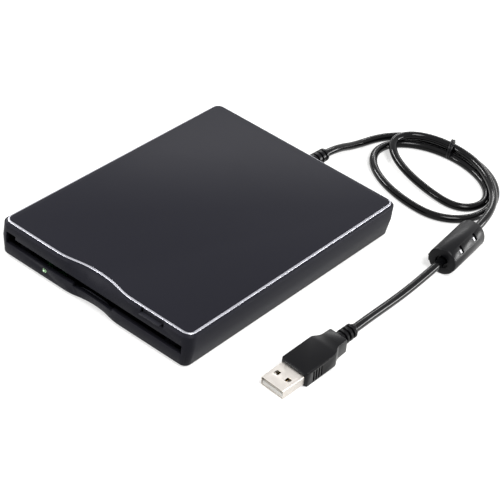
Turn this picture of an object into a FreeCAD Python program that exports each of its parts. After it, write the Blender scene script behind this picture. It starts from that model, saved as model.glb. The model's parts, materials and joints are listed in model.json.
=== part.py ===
import FreeCAD, Part
import math
import os

import Sketcher
from FreeCAD import Placement, Rotation, Vector

# External 3.5 inch floppy disk drive with its captive lead. Millimetres, +Z up.
# The origin is in the middle of the drive's footprint, on the surface it stands on.
# The front with the disk slot faces -Y and the lead leaves the back towards +Y.

DIMENSIONS = {
    # Case, outside
    "case_width": 104.0,
    "case_depth": 142.0,
    "case_height": 17.0,
    "foot_height": 0.6,
    "corner_radius": 4.5,
    "wall": 1.8,
    "top_wall": 1.6,
    "waist_height": 8.9,
    "base_inset": 1.7,
    "edge_inset": 1.1,
    "edge_height": 0.7,
    "base_wall": 1.6,
    "shoulder_drop": 0.9,
    "shoulder_inset": 0.1,
    "crown_inset": 0.55,
    # The wave across the front
    "wave_depth": 2.9,
    "wave_half": 21.0,
    "base_wave_depth": 2.0,
    "base_wave_half": 15.0,
    "waist_wave_depth": 0.15,
    # Trim ring
    "trim_width": 1.05,
    "trim_height": 0.8,
    "trim_proud": 0.15,
    "trim_edge": 0.35,
    # Slot
    "slot_sill": 6.5,
    "slot_height": 4.2,
    "slot_left_end": 4.2,
    "slot_right_end": 3.7,
    "notch_width": 5.2,
    "notch_rise": 1.5,
    "finger_half": 10.8,
    "finger_shift": 0.45,
    "finger_drop": 1.2,
    # Bottom plate, feet and case screws
    "plate_thickness": 1.5,
    "plate_gap": 0.15,
    "foot_radius": 4.0,
    "foot_recess": 0.4,
    "foot_from_side": 12.0,
    "foot_from_end": 15.0,
    "screw_from_side": 12.0,
    "boss_side": 5.2,
    "boss_front_height": 4.5,
    "boss_rear_height": 6.0,
    "screw_radius": 1.0,
    "screw_head_radius": 1.9,
    "screw_head_height": 0.9,
    "screw_length": 3.4,
    "pilot_radius": 0.8,
    "hole_gap": 0.15,
    "fit_gap": 0.05,
    "front_screw_from_side": 14.0,
    "front_screw_from_end": 6.0,
    "rear_screw_from_side": 5.0,
    "rear_screw_from_end": 10.0,
    # Eject button
    "button_from_side": 19.9,
    "button_width": 11.9,
    "button_height": 1.85,
    "button_drop": 3.05,
    "button_proud": 0.9,
    "button_lip": 0.8,
    "button_gap": 0.25,
    "button_depth": 6.0,
    "stem_width": 6.0,
    "stem_height": 0.9,
    # Lamp
    "lamp_from_side": 26.1,
    "lamp_height": 4.4,
    "lens_radius": 0.9,
    "lens_proud": 0.3,
    "diode_radius": 1.5,
    "diode_length": 3.4,
    "led_board_width": 12.0,
    "led_board_height": 4.6,
    # Drive frame
    "drive_side_gap": 2.2,
    "drive_front_gap": 11.0,
    "drive_back_gap": 9.0,
    "standoff": 0.5,
    "floor_thickness": 0.8,
    "side_thickness": 0.9,
    "side_gap": 0.3,
    "lid_thickness": 0.5,
    "rail_height": 9.7,
    "post_height": 1.2,
    # Disk path
    "bay_step": 0.05,
    "bay_height": 4.2,
    "carrier_sheet": 0.6,
    "rail_width": 7.3,
    "carrier_gap": 1.5,
    "carrier_lever_gap": 13.0,
    "lift": 1.6,
    "travel": 4.0,
    "pin_radius": 0.8,
    "front_pin_from_end": 18.5,
    "rear_pin_from_end": 17.0,
    "spring_gap": 10.0,
    "spring_length": 39.0,
    "spring_radius": 0.6,
    "pin_height": 9.6,
    # Spindle
    "spindle_depth": 39.5,
    "shaft_radius": 2.0,
    "bearing_radius": 3.9,
    "board_thickness": 0.5,
    "motor_board_radius": 22.0,
    "coil_thickness": 0.25,
    "coil_inner_end": 6.4,
    "coil_outer_end": 16.0,
    "coil_inner_half": 2.4,
    "coil_outer_half": 6.4,
    "coil_winding": 1.9,
    "motor_tail_length": 30.0,
    "motor_tail_half": 7.0,
    "rotor_radius": 19.0,
    "rotor_sheet": 0.5,
    "magnet_thickness": 0.5,
    "magnet_radius": 17.6,
    "rotor_clearance": 0.25,
    "hub_radius": 12.3,
    "hub_thickness": 0.7,
    "shaft_rise": 0.8,
    "drive_pin_radius": 1.1,
    "drive_pin_circle": 9.6,
    # Heads
    "track_zero_radius": 39.5,
    "head_stroke": 15.0,
    "head_length": 5.2,
    "head_width": 4.4,
    "arm_width": 8.0,
    "arm_thickness": 0.8,
    "lower_arm_rise": 0.9,
    "lower_head_top": 7.0,
    "upper_head_bottom": 11.5,
    "hinge_from_back": 3.0,
    "arm_pin_radius": 0.7,
    "carriage_length": 10.0,
    "carriage_gap": 9.0,
    "rod_x": 8.0,
    "rod_height": 3.6,
    "rod_radius": 1.0,
    "screw_x": 20.0,
    "thread_radius": 1.5,
    "journal_radius": 1.0,
    "can_radius": 5.2,
    "can_length": 8.6,
    "bracket_sheet": 0.8,
    # Shutter lever
    "lever_from_side": 10.0,
    "lever_from_back": 22.0,
    "lever_length": 31.0,
    "lever_thickness": 0.6,
    "lever_window_gap": 16.0,
    "lever_pin_radius": 1.2,
    # Dust flap
    "flap_side_gap": 4.2,
    "flap_setback": 4.4,
    "flap_pin_height": 12.15,
    "flap_pin_radius": 0.6,
    "flap_hub_radius": 0.95,
    "flap_thickness": 0.8,
    "ear_thickness": 1.4,
    # Electronics
    "main_board_thickness": 1.0,
    "main_board_from_side": 12.5,
    "main_board_gap": 1.5,
    "main_board_tail": 21.6,
    "chip_side": 10.0,
    "ribbon_width": 8.0,
    "ribbon_thickness": 0.2,
    # Lead
    "cord_radius": 1.9,
    "boot_x": 0.5,
    "boot_height": 8.1,
    "boot_radius": 3.55,
    "boot_length": 15.5,
    "boot_neck": 3.0,
    "boot_pitch": 2.9,
    "boot_groove": 1.0,
    "boot_groove_depth": 0.85,
    "coil_height": 7.7,
    "ferrite_radius": 6.7,
    "ferrite_length": 32.0,
    "ferrite_wall": 1.45,
    "ferrite_split": 2.2,
    "ferrite_bore": 2.5,
    "plug_width": 14.8,
    "plug_height": 7.6,
    "plug_length": 24.0,
    "shell_width": 12.0,
    "shell_height": 4.5,
    "shell_length": 11.9,
    "shell_sheet": 0.3,
    "relief_radius": 3.0,
    "relief_length": 10.0,
}

# Ratio of the wave's middle arc to its middle and end arcs together.
WAVE_SHARE = 0.58

# Route of the lead's middle line, chosen by hand: out of the boot and along to the coil,
LEAD_IN_ROUTE = [
    (0.5, 86.5, 8.7),
    (0.6, 94.0, 7.6),
    (0.5, 101.5, 5.3),
    (0.8, 109.0, 2.9),
    (1.1, 116.5, 1.95),
    (2.8, 124.5, 1.95),
    (5.9, 131.4, 1.95),
    (10.4, 137.2, 1.95),
]
# then from the top of the coil, through the ferrite and on to the plug.
LEAD_OUT_ROUTE = [
    (72.0, 122.6, 5.4),
    (76.6, 109.3, 5.7),
    (80.2, 93.0, 6.75),
    (83.5, 61.0, 6.75),
    (84.0, 45.5, 4.6),
    (83.3, 33.0, 3.95),
    (83.5, 22.0, 4.3),
    (84.4, 11.6, 6.2),
    (85.5, 3.8, 7.5),
    (86.0, -2.5, 8.1),
    (85.95, -8.79, 8.18),
]
COIL_OUTER = [
    (6.6, 121.5), (8.6, 116.0), (14.4, 106.5), (25.2, 99.2), (35.9, 95.4), (52.6, 93.2), (62.5, 95.5),
    (71.4, 103.8), (75.4, 116.0), (73.4, 126.0), (66.5, 136.7), (54.2, 145.8), (46.8, 148.8),
    (37.9, 151.2), (29.5, 151.4), (21.8, 149.0), (17.0, 145.0), (12.0, 142.0), (7.2, 138.0), (5.6, 130.0),
]
COIL_INNER = [
    (63.0, 112.7), (51.5, 111.3), (39.8, 113.5), (27.2, 118.0), (19.2, 121.6), (15.4, 129.0),
    (20.0, 134.6), (31.2, 139.8), (40.4, 140.5), (51.0, 137.5), (61.5, 130.9), (67.0, 123.9), (67.6, 116.5),
]


class Size:
    """A length that carries its number and the spreadsheet formula that gives it."""

    def __init__(self, value, text=None):
        self.value = float(value)
        self.text = repr(float(value)) if text is None else text

    def merged(self, sign, other, swap=False):
        other = size_of(other)
        left, right = (other, self) if swap else (self, other)
        results = {
            "+": lambda a, b: a + b,
            "-": lambda a, b: a - b,
            "*": lambda a, b: a * b,
            "/": lambda a, b: a / b,
        }
        return Size(results[sign](left.value, right.value), "(%s %s %s)" % (left.text, sign, right.text))

    def __add__(self, other):
        return self.merged("+", other)

    def __radd__(self, other):
        return self.merged("+", other, True)

    def __sub__(self, other):
        return self.merged("-", other)

    def __rsub__(self, other):
        return self.merged("-", other, True)

    def __mul__(self, other):
        return self.merged("*", other)

    def __rmul__(self, other):
        return self.merged("*", other, True)

    def __truediv__(self, other):
        return self.merged("/", other)

    def __neg__(self):
        return Size(-self.value, "(0 - %s)" % self.text)


def size_of(value):
    return value if isinstance(value, Size) else Size(value)


def number(value):
    return size_of(value).value


def long_side(a, b):
    """Length of the slanted side of a right-angled triangle with short sides a and b."""
    a, b = size_of(a), size_of(b)
    return Size(math.hypot(a.value, b.value), "sqrt(%s * %s + %s * %s)" % (a.text, a.text, b.text, b.text))


doc = FreeCAD.newDocument("floppy_drive")
sheet = doc.addObject("Spreadsheet::Sheet", "Sheet")


class Dimensions:
    """The driving dimensions, one attribute and one aliased cell each."""

    def __init__(self, table):
        for row, (alias, value) in enumerate(table.items(), start=1):
            cell = "A%d" % row
            sheet.set(cell, repr(value))
            sheet.setAlias(cell, alias)
            setattr(self, alias, Size(value, "Sheet." + alias))


D = Dimensions(DIMENSIONS)
doc.recompute()

nodes = []


def bind(item, prop, value):
    item.setExpression(prop, size_of(value).text)


def keep(item, name):
    """Makes a finished object one of the kept sub-parts, under its own name."""
    item.Label = name
    nodes.append(item)
    return item


class Path:
    """A closed outline of straight lines and arcs, drawn from point to point."""

    def __init__(self, x, y):
        self.points = [(size_of(x), size_of(y))]
        self.steps = []

    def line(self, x, y):
        self.points.append((size_of(x), size_of(y)))
        self.steps.append(None)
        return self

    def arc(self, x, y, radius, turn):
        """An arc of under half a turn to x, y; turn is 1 for leftwards and -1 for rightwards."""
        self.points.append((size_of(x), size_of(y)))
        self.steps.append((size_of(radius), turn))
        return self

    def close(self):
        """Ends the outline with a straight line back to its first point."""
        self.steps.append(None)
        return self

    def joined(self):
        """Ends the outline where its last step has come back to its first point."""
        self.points.pop()
        return self


class Circle:
    def __init__(self, x, y, radius):
        self.x, self.y, self.radius = size_of(x), size_of(y), size_of(radius)


def polygon(*corners):
    path = Path(*corners[0])
    for corner in corners[1:]:
        path.line(*corner)
    return path.close()


def rectangle(x0, y0, x1, y1):
    return polygon((x0, y0), (x1, y0), (x1, y1), (x0, y1))


def rounded_rectangle(x0, y0, x1, y1, r):
    path = Path(x0 + r, y0).line(x1 - r, y0).arc(x1, y0 + r, r, 1)
    path.line(x1, y1 - r).arc(x1 - r, y1, r, 1)
    path.line(x0 + r, y1).arc(x0, y1 - r, r, 1)
    return path.line(x0, y0 + r).arc(x0 + r, y0, r, 1).joined()


def slanted_slot(x0, y0, x1, y1, r):
    """A slot with round ends centred on two points."""
    length = long_side(x1 - x0, y1 - y0)
    ux, uy = (x1 - x0) / length, (y1 - y0) / length
    nx, ny = -1 * uy * r, ux * r
    path = Path(x0 - nx, y0 - ny).line(x1 - nx, y1 - ny)
    path.arc(x1 + ux * r, y1 + uy * r, r, 1).arc(x1 + nx, y1 + ny, r, 1)
    path.line(x0 + nx, y0 + ny)
    return path.arc(x0 - ux * r, y0 - uy * r, r, 1).arc(x0 - nx, y0 - ny, r, 1).joined()


def add_circle(sketch, circle):
    centre = Vector(circle.x.value, circle.y.value, 0)
    index = sketch.addGeometry(Part.Circle(centre, Vector(0, 0, 1), circle.radius.value), False)
    for kind, value in (("DistanceX", circle.x), ("DistanceY", circle.y)):
        made = sketch.addConstraint(Sketcher.Constraint(kind, -1, 1, index, 3, value.value))
        sketch.setExpression("Constraints[%d]" % made, value.text)
    made = sketch.addConstraint(Sketcher.Constraint("Radius", index, circle.radius.value))
    sketch.setExpression("Constraints[%d]" % made, circle.radius.text)


def arc_geometry(start, end, radius, turn):
    """The arc and whether it runs against the path's direction."""
    middle = (start + end) * 0.5
    chord = end - start
    rise = math.sqrt(max(radius * radius - chord.Length * chord.Length / 4, 0.0))
    side = Vector(-chord.y, chord.x, 0).normalize() * (turn * rise)
    centre = middle + side
    first, last = (start, end) if turn > 0 else (end, start)
    angles = [math.atan2(p.y - centre.y, p.x - centre.x) for p in (first, last)]
    return Part.ArcOfCircle(Part.Circle(centre, Vector(0, 0, 1), radius), *angles)


def add_path(sketch, path):
    spots = [Vector(x.value, y.value, 0) for x, y in path.points]
    count = len(path.steps)
    ends = []
    for i, step in enumerate(path.steps):
        start, end = spots[i], spots[(i + 1) % count]
        if step is None:
            index = sketch.addGeometry(Part.LineSegment(start, end), False)
            ends.append((index, 1, 2))
        else:
            index = sketch.addGeometry(arc_geometry(start, end, step[0].value, step[1]), False)
            ends.append((index, 1, 2) if step[1] > 0 else (index, 2, 1))
    for i, (index, start, end) in enumerate(ends):
        following = ends[(i + 1) % count]
        sketch.addConstraint(Sketcher.Constraint("Coincident", index, end, following[0], following[1]))
    for (index, start, end), (x, y), step in zip(ends, path.points, path.steps):
        for kind, value in (("DistanceX", x), ("DistanceY", y)):
            made = sketch.addConstraint(Sketcher.Constraint(kind, -1, 1, index, start, value.value))
            sketch.setExpression("Constraints[%d]" % made, value.text)
        if step is not None:
            made = sketch.addConstraint(Sketcher.Constraint("Radius", index, step[0].value))
            sketch.setExpression("Constraints[%d]" % made, step[0].text)


# For each plane: which way its sketches face along the axis that they are placed on.
FACING = {"XY_Plane": 1, "XZ_Plane": -1, "YZ_Plane": 1}


def new_body(name):
    body = doc.addObject("PartDesign::Body", name)
    return keep(body, name)


def sketch_on(body, plane, place, outlines):
    """A sketch parallel to one of the body's planes, at a place along that plane's axis."""
    sketch = body.newObject("Sketcher::SketchObject", "Sketch")
    role = [feature for feature in body.Origin.OriginFeatures if feature.Role == plane][0]
    sketch.AttachmentSupport = [(role, "")]
    sketch.MapMode = "FlatFace"
    bind(sketch, "AttachmentOffset.Base.z", size_of(place) * FACING[plane])
    for outline in outlines:
        if isinstance(outline, Circle):
            add_circle(sketch, outline)
        else:
            add_path(sketch, outline)
    return sketch


def pad(body, plane, low, high, *outlines):
    """Adds material between two places along the plane's axis."""
    near = low if FACING[plane] > 0 else high
    feature = body.newObject("PartDesign::Pad", "Pad")
    feature.Profile = sketch_on(body, plane, near, outlines)
    bind(feature, "Length", high - low)
    body.Tip = feature
    return feature


def pocket(body, plane, low, high, *outlines):
    """Cuts material away between two places along the plane's axis."""
    far = high if FACING[plane] > 0 else low
    feature = body.newObject("PartDesign::Pocket", "Pocket")
    feature.Profile = sketch_on(body, plane, far, outlines)
    bind(feature, "Length", high - low)
    body.Tip = feature
    return feature


def loft(body, kind, sections):
    """A straight-sided loft through level sections, each a height and an outline."""
    sketches = [sketch_on(body, "XY_Plane", height, [outline]) for height, outline in sections]
    feature = body.newObject("PartDesign::" + kind, kind)
    feature.Profile = sketches[0]
    feature.Sections = sketches[1:]
    feature.Ruled = True
    body.Tip = feature
    return feature


def turned(body, plane, place, axis_name, outline, kind="PartDesign::Revolution"):
    """Turns an outline about one of its sketch's own axes."""
    sketch = sketch_on(body, plane, place, [outline])
    feature = body.newObject(kind, "Turned")
    feature.Profile = sketch
    feature.ReferenceAxis = (sketch, [axis_name])
    feature.Angle = 360
    body.Tip = feature
    return feature


def placed(item, x, y, z, rotation):
    """Places a finished boolean, group or body with its own turn."""
    item.Placement = Placement(Vector(number(x), number(y), number(z)), rotation)
    for axis, value in zip("xyz", (x, y, z)):
        bind(item, "Placement.Base." + axis, value)
    return item


def edge_names(shape, test):
    return ["Edge%d" % (i + 1) for i, edge in enumerate(shape.Edges) if test(edge)]


def fillet(body, radius, test):
    """Rounds the edges of the body's last feature that pass a test."""
    doc.recompute()
    base = body.Tip
    feature = body.newObject("PartDesign::Fillet", "Fillet")
    feature.Base = (base, edge_names(base.Shape, test))
    bind(feature, "Radius", radius)
    body.Tip = feature
    return feature


def box(name, low, high):
    item = doc.addObject("Part::Box", name)
    for prop, axis, start, end in zip(("Length", "Width", "Height"), "xyz", low, high):
        bind(item, prop, size_of(end) - start)
        bind(item, "Placement.Base." + axis, start)
    return item


AXIS_TURNS = {
    "X": Rotation(Vector(0, 1, 0), 90),
    "Y": Rotation(Vector(1, 0, 0), -90),
    "Z": Rotation(),
}


def rod(name, axis, x, y, z, radius, length):
    """A cylinder that starts at x, y, z and runs along an axis."""
    item = doc.addObject("Part::Cylinder", name)
    item.Placement = Placement(Vector(), AXIS_TURNS[axis])
    bind(item, "Radius", radius)
    bind(item, "Height", length)
    for letter, value in zip("xyz", (x, y, z)):
        bind(item, "Placement.Base." + letter, value)
    return item


def cut(name, base, *tools):
    item = doc.addObject("Part::Cut", name)
    item.Base = base
    item.Tool = tools[0] if len(tools) == 1 else fuse(name + "_tool", *tools)
    return item


def fuse(name, *shapes):
    item = doc.addObject("Part::MultiFuse", name)
    item.Shapes = list(shapes)
    return item


def group(name, *shapes):
    """Separate solids kept under one name."""
    item = doc.addObject("Part::Compound", name)
    item.Links = list(shapes)
    return keep(item, name)


def ring(name, x, y, z, outer, inner, height, axis="Z"):
    """A tube along an axis, its bore open at both ends."""
    start = {"X": (x - 1, y, z), "Y": (x, y - 1, z), "Z": (x, y, z - 1)}[axis]
    bore = rod(name + "_bore", axis, *start, inner, height + 2)
    return cut(name, rod(name + "_outer", axis, x, y, z, outer, height), bore)


# Levels of the case, counted from the ground
case_bottom = D.foot_height
case_top = D.foot_height + D.case_height
trim_seat = case_top - D.trim_height
cover_top = case_top - D.trim_proud
ceiling = cover_top - D.top_wall
waist = case_bottom + D.waist_height
shoulder = trim_seat - D.shoulder_drop
plate_top = case_bottom + D.plate_thickness
slot_low = case_bottom + D.slot_sill
slot_high = slot_low + D.slot_height
inner_base_inset = D.base_inset + D.base_wall
half_case = D.case_width / 2
front = D.case_depth / -2
back = D.case_depth / 2

# Places on the case
slot_left = half_case - D.slot_left_end
slot_right = half_case - D.slot_right_end
foot_x = half_case - D.foot_from_side
foot_y = back - D.foot_from_end
case_screw_x = half_case - D.screw_from_side
button_x = half_case - D.button_from_side
lamp_x = D.lamp_from_side - half_case
flap_half = half_case - D.wall - D.flap_side_gap

# Places in the drive inside
half_drive = half_case - D.wall - D.drive_side_gap
drive_front = front + D.drive_front_gap
drive_back = back - D.drive_back_gap
lever_x = D.lever_from_side - half_drive
lever_y = drive_back - D.lever_from_back
carrier_front = drive_front + D.carrier_gap
carrier_back = lever_y - D.carrier_lever_gap
front_pin_y = carrier_front + D.front_pin_from_end
rear_pin_y = carrier_back - D.rear_pin_from_end
spindle_y = drive_front + D.spindle_depth
head_y = spindle_y + D.track_zero_radius
carriage_back = drive_back - D.carriage_gap
carriage_front = carriage_back - D.carriage_length
arm_hinge_y = carriage_back - D.hinge_from_back

# Levels of the drive inside
drive_bottom = plate_top + D.standoff
floor_top = drive_bottom + D.floor_thickness
bay_low = slot_low + D.bay_step
bay_high = bay_low + D.bay_height
carrier_bottom = bay_low - D.carrier_sheet
carrier_top = bay_high + D.carrier_sheet
rail_top = floor_top + D.rail_height
lid_seat = rail_top + D.post_height
slider_bottom = rail_top + D.fit_gap
slider_top = slider_bottom + D.carrier_sheet


def case_outline(inset, depth, half):
    """The case's plan, drawn in by an inset, with the wave in its front edge."""
    x = half_case - inset
    low, high = front + inset, back - inset
    r = D.corner_radius - inset
    both = (half * half + depth * depth) / (depth * 2)
    middle = both * WAVE_SHARE + inset
    end = both - middle
    bend_x, bend_y = middle * half / both, low + end * depth / both
    path = Path(-x + r, low).line(-half, low)
    path.arc(-bend_x, bend_y, end, 1).arc(bend_x, bend_y, middle, -1).arc(half, low, end, 1)
    path.line(x - r, low).arc(x, low + r, r, 1)
    path.line(x, high - r).arc(x - r, high, r, 1)
    path.line(-x + r, high).arc(-x, high - r, r, 1)
    return path.line(-x, low + r).arc(-x + r, low, r, 1).joined()


def at_both_sides(work, body, low, high, *outlines):
    """The same pad or pocket at the right and at the left."""
    work(body, "YZ_Plane", low, high, *outlines)
    work(body, "YZ_Plane", -high, -low, *outlines)


# ---------------------------------------------------------------- case

boot_z = case_bottom + D.boot_height
boot_seat = back - 3.0
boot_flange = 1.2
screw_edge = inner_base_inset + D.plate_gap + D.screw_head_radius + D.hole_gap + 0.5
boss_front_y = front + screw_edge
boss_rear_y = back - screw_edge
flap_z = D.flap_pin_height
flap_y = front + D.flap_setback
lamp_z = case_bottom + D.lamp_height
button_low = cover_top - D.button_drop
button_high = button_low + D.button_height


def make_top_cover():
    body = new_body("top_cover")
    wave = (D.wave_depth, D.wave_half)
    base_wave = (D.base_wave_depth, D.base_wave_half)
    waist_wave = (D.waist_wave_depth, D.wave_half)
    loft(body, "AdditiveLoft", [
        (case_bottom, case_outline(D.base_inset, *base_wave)),
        (case_bottom + D.edge_height, case_outline(D.edge_inset, *base_wave)),
        (waist, case_outline(Size(0), *waist_wave)),
        (shoulder, case_outline(D.shoulder_inset, *wave)),
        (trim_seat, case_outline(D.crown_inset, *wave)),
    ])
    pad(body, "XY_Plane", trim_seat, cover_top, case_outline(D.crown_inset + D.trim_width, *wave))
    loft(body, "SubtractiveLoft", [
        (case_bottom, case_outline(inner_base_inset, *base_wave)),
        (plate_top, case_outline(inner_base_inset, *base_wave)),
        (waist, case_outline(D.wall, *waist_wave)),
        (ceiling, case_outline(D.wall + D.shoulder_inset, *wave)),
    ])
    # Screw bosses, which grow out of the front and back walls
    side, wall_middle = D.boss_side / 2, D.wall * 0.8
    for low, high, height in (
        (front + wall_middle, boss_front_y + side, D.boss_front_height),
        (boss_rear_y - side, back - wall_middle, D.boss_rear_height),
    ):
        outlines = [
            rectangle(x * case_screw_x - side, low, x * case_screw_x + side, high) for x in (-1, 1)
        ]
        pad(body, "XY_Plane", plate_top, plate_top + height, *outlines)
    # Flat seat for the boot inside the back wall
    pad(body, "XZ_Plane", boot_seat, back - D.wall, Circle(D.boot_x, boot_z, D.boot_radius + 1.2))
    # Ears for the flap's rod
    ear = 1.2
    low, high = flap_half + 0.6, flap_half + 0.6 + D.ear_thickness
    at_both_sides(pad, body, low, high, rectangle(flap_y - ear, flap_z - ear, flap_y + ear, ceiling + 0.2))
    pocket(body, "YZ_Plane", -high - 0.1, high + 0.1, Circle(flap_y, flap_z, D.flap_pin_radius + D.fit_gap))
    # Slot with its notch at the left and the finger recess in the lip
    notch = -slot_left + D.notch_width
    finger_low, finger_high = D.finger_shift - D.finger_half, D.finger_shift + D.finger_half
    inside = front + D.wall + D.wave_depth / 2
    pocket(body, "XZ_Plane", front - 1, inside, polygon(
        (-slot_left, slot_low), (finger_low, slot_low), (finger_low, slot_low - D.finger_drop),
        (finger_high, slot_low - D.finger_drop), (finger_high, slot_low), (slot_right, slot_low),
        (slot_right, slot_high), (notch, slot_high), (notch, slot_high + D.notch_rise),
        (-slot_left, slot_high + D.notch_rise),
    ))
    # Openings for the button, the lamp and the boot
    half, gap = D.button_width / 2, D.button_gap
    pocket(body, "XZ_Plane", front - 1, front + D.button_depth - D.button_proud + gap, rectangle(
        button_x - half - gap, button_low - gap, button_x + half + gap, button_high + gap,
    ))
    pocket(body, "XZ_Plane", front - 1, front + 5, Circle(lamp_x, lamp_z, D.lens_radius + D.fit_gap))
    pocket(body, "XZ_Plane", boot_seat - 1, back + 1, Circle(D.boot_x, boot_z, D.boot_neck + D.fit_gap))
    # Pilot holes for the case screws
    for y in (boss_front_y, boss_rear_y):
        holes = [Circle(x * case_screw_x, y, D.pilot_radius) for x in (-1, 1)]
        pocket(body, "XY_Plane", plate_top, plate_top + D.screw_length, *holes)
    return body


def make_trim():
    """A ring with its outer top edge eased, let into the hood's crown."""
    body = new_body("top_trim")
    wave = (D.wave_depth, D.wave_half)
    eased = case_top - D.trim_edge
    loft(body, "AdditiveLoft", [
        (trim_seat, case_outline(D.crown_inset, *wave)),
        (eased, case_outline(D.crown_inset, *wave)),
        (case_top, case_outline(D.crown_inset + D.trim_edge, *wave)),
    ])
    pocket(body, "XY_Plane", trim_seat - 1, case_top, case_outline(D.crown_inset + D.trim_width, *wave))


def make_bottom_cover():
    body = new_body("bottom_cover")
    outline = case_outline(inner_base_inset + D.plate_gap, D.base_wave_depth, D.base_wave_half)
    pad(body, "XY_Plane", case_bottom, plate_top, outline)
    posts = [Circle(x, y, D.screw_radius * 2.4) for x, y in chassis_screw_places()]
    pad(body, "XY_Plane", plate_top, drive_bottom, *posts)
    feet = [Circle(x * foot_x, y * foot_y, D.foot_radius + D.hole_gap) for x in (-1, 1) for y in (-1, 1)]
    pocket(body, "XY_Plane", case_bottom - 1, case_bottom + D.foot_recess, *feet)
    heads = [Circle(x, y, D.screw_head_radius + D.hole_gap) for x, y in case_screw_places()]
    pocket(body, "XY_Plane", case_bottom - 1, case_bottom + D.screw_head_height, *heads)
    holes = [Circle(x, y, D.screw_radius + D.hole_gap) for x, y in case_screw_places()]
    pocket(body, "XY_Plane", case_bottom - 1, plate_top + 1, *holes)
    pilots = [Circle(x, y, D.pilot_radius) for x, y in chassis_screw_places()]
    pocket(body, "XY_Plane", plate_top - D.standoff, drive_bottom, *pilots)


def case_screw_places():
    return [(x * case_screw_x, y) for x in (-1, 1) for y in (boss_front_y, boss_rear_y)]


def chassis_screw_places():
    front_x, rear_x = half_drive - D.front_screw_from_side, half_drive - D.rear_screw_from_side
    front_y, rear_y = drive_front + D.front_screw_from_end, drive_back - D.rear_screw_from_end
    return [(x * front_x, front_y) for x in (-1, 1)] + [(x * rear_x, rear_y) for x in (-1, 1)]


def screw(name, x, y, seat, length, up):
    """A pan-head screw whose head sits on a level seat; up is 1 if its shank points upwards."""
    head = D.screw_head_height - D.fit_gap
    if up > 0:
        parts = [rod(name + "_head", "Z", x, y, seat - head, D.screw_head_radius, head)]
        parts.append(rod(name + "_shank", "Z", x, y, seat - head / 2, D.pilot_radius, length + head / 2))
    else:
        parts = [rod(name + "_head", "Z", x, y, seat, D.screw_head_radius, head)]
        parts.append(rod(name + "_shank", "Z", x, y, seat - length, D.pilot_radius, length + head / 2))
    return fuse(name, *parts)


def make_case_screws():
    length = D.screw_length + D.plate_thickness - D.screw_head_height - D.fit_gap
    group("case_screws", *[
        screw("case_screw_%d" % i, x, y, case_bottom + D.screw_head_height, length, 1)
        for i, (x, y) in enumerate(case_screw_places())
    ])


def make_feet():
    group("rubber_feet", *[
        rod("foot_%d_%d" % (x, y), "Z", x * foot_x, y * foot_y, 0, D.foot_radius,
            D.foot_height + D.foot_recess)
        for x in (-1, 1) for y in (-1, 1)
    ])


# ---------------------------------------------------------------- button, lamp and flap

button_front = front - D.button_proud
tab_front = drive_front - 0.5


def make_eject_button():
    """A wide head with a dished face and a lip along its lower edge, on a flat stem."""
    body = new_body("eject_button")
    half = D.button_width / 2
    lip = button_low + D.button_height * 0.2
    head_back = button_front + D.button_depth
    dished = Path(button_front + D.button_lip * 0.25, button_low)
    dished.line(head_back, button_low).line(head_back, button_high)
    dished.line(button_front + D.button_lip, button_high)
    dished.arc(button_front, lip, D.button_height * 1.1, -1).close()
    pad(body, "YZ_Plane", button_x - half, button_x + half, dished)
    stem = D.stem_width / 2
    pad(body, "YZ_Plane", button_x - stem, button_x + stem, rectangle(
        head_back - 0.5, button_low, tab_front, button_low + D.stem_height,
    ))


def make_lamp():
    seat = front + D.wall + 1.25
    lens_front = front + D.edge_inset / 2 - D.lens_proud
    lens = fuse(
        "led_lens",
        rod("lens_shaft", "Y", lamp_x, lens_front, lamp_z, D.lens_radius, seat - lens_front + 0.5),
        rod("lens_flange", "Y", lamp_x, seat, lamp_z, D.lens_radius + 0.6, 1.0),
    )
    keep(lens, "led_lens")
    diode_back = seat + 1 + D.diode_length
    diode = fuse(
        "led_diode",
        rod("diode_body", "Y", lamp_x, seat + 1, lamp_z, D.diode_radius, D.diode_length),
        rod("diode_rim", "Y", lamp_x, diode_back - 0.8, lamp_z, D.diode_radius + 0.3, 0.8),
    )
    keep(diode, "led_diode")
    half = D.led_board_width / 2
    keep(box("led_board", (lamp_x - half, diode_back, plate_top),
             (lamp_x + half, diode_back + 0.8, plate_top + D.led_board_height)), "led_board")


spring_room = 4.6


def make_flap():
    """The dust flap with its rod and the spring on the rod's right end."""
    body = new_body("slot_flap")
    half, thick = flap_half - D.hole_gap, D.flap_thickness / 2
    low = slot_low + D.hole_gap
    pad(body, "YZ_Plane", -half, half - spring_room, Circle(flap_y, flap_z, D.flap_hub_radius))
    pad(body, "YZ_Plane", -half, half, rectangle(flap_y - thick, low, flap_y + thick, flap_z - 1.1))
    pad(body, "YZ_Plane", -half, half - spring_room, rectangle(
        flap_y - thick, flap_z - 1.2, flap_y + thick, flap_z,
    ))
    pocket(body, "YZ_Plane", -half - 1, half + 1, Circle(flap_y, flap_z, D.flap_pin_radius + D.fit_gap))
    reach = flap_half + 0.6 + D.ear_thickness
    keep(rod("flap_pin", "X", -reach, flap_y, flap_z, D.flap_pin_radius, reach * 2), "flap_pin")
    start = half - spring_room + D.hole_gap
    keep(ring("flap_spring", start, flap_y, flap_z, D.flap_hub_radius, D.flap_pin_radius + D.fit_gap,
              spring_room - D.hole_gap * 2, "X"), "flap_spring")


# ---------------------------------------------------------------- drive frame

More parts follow.
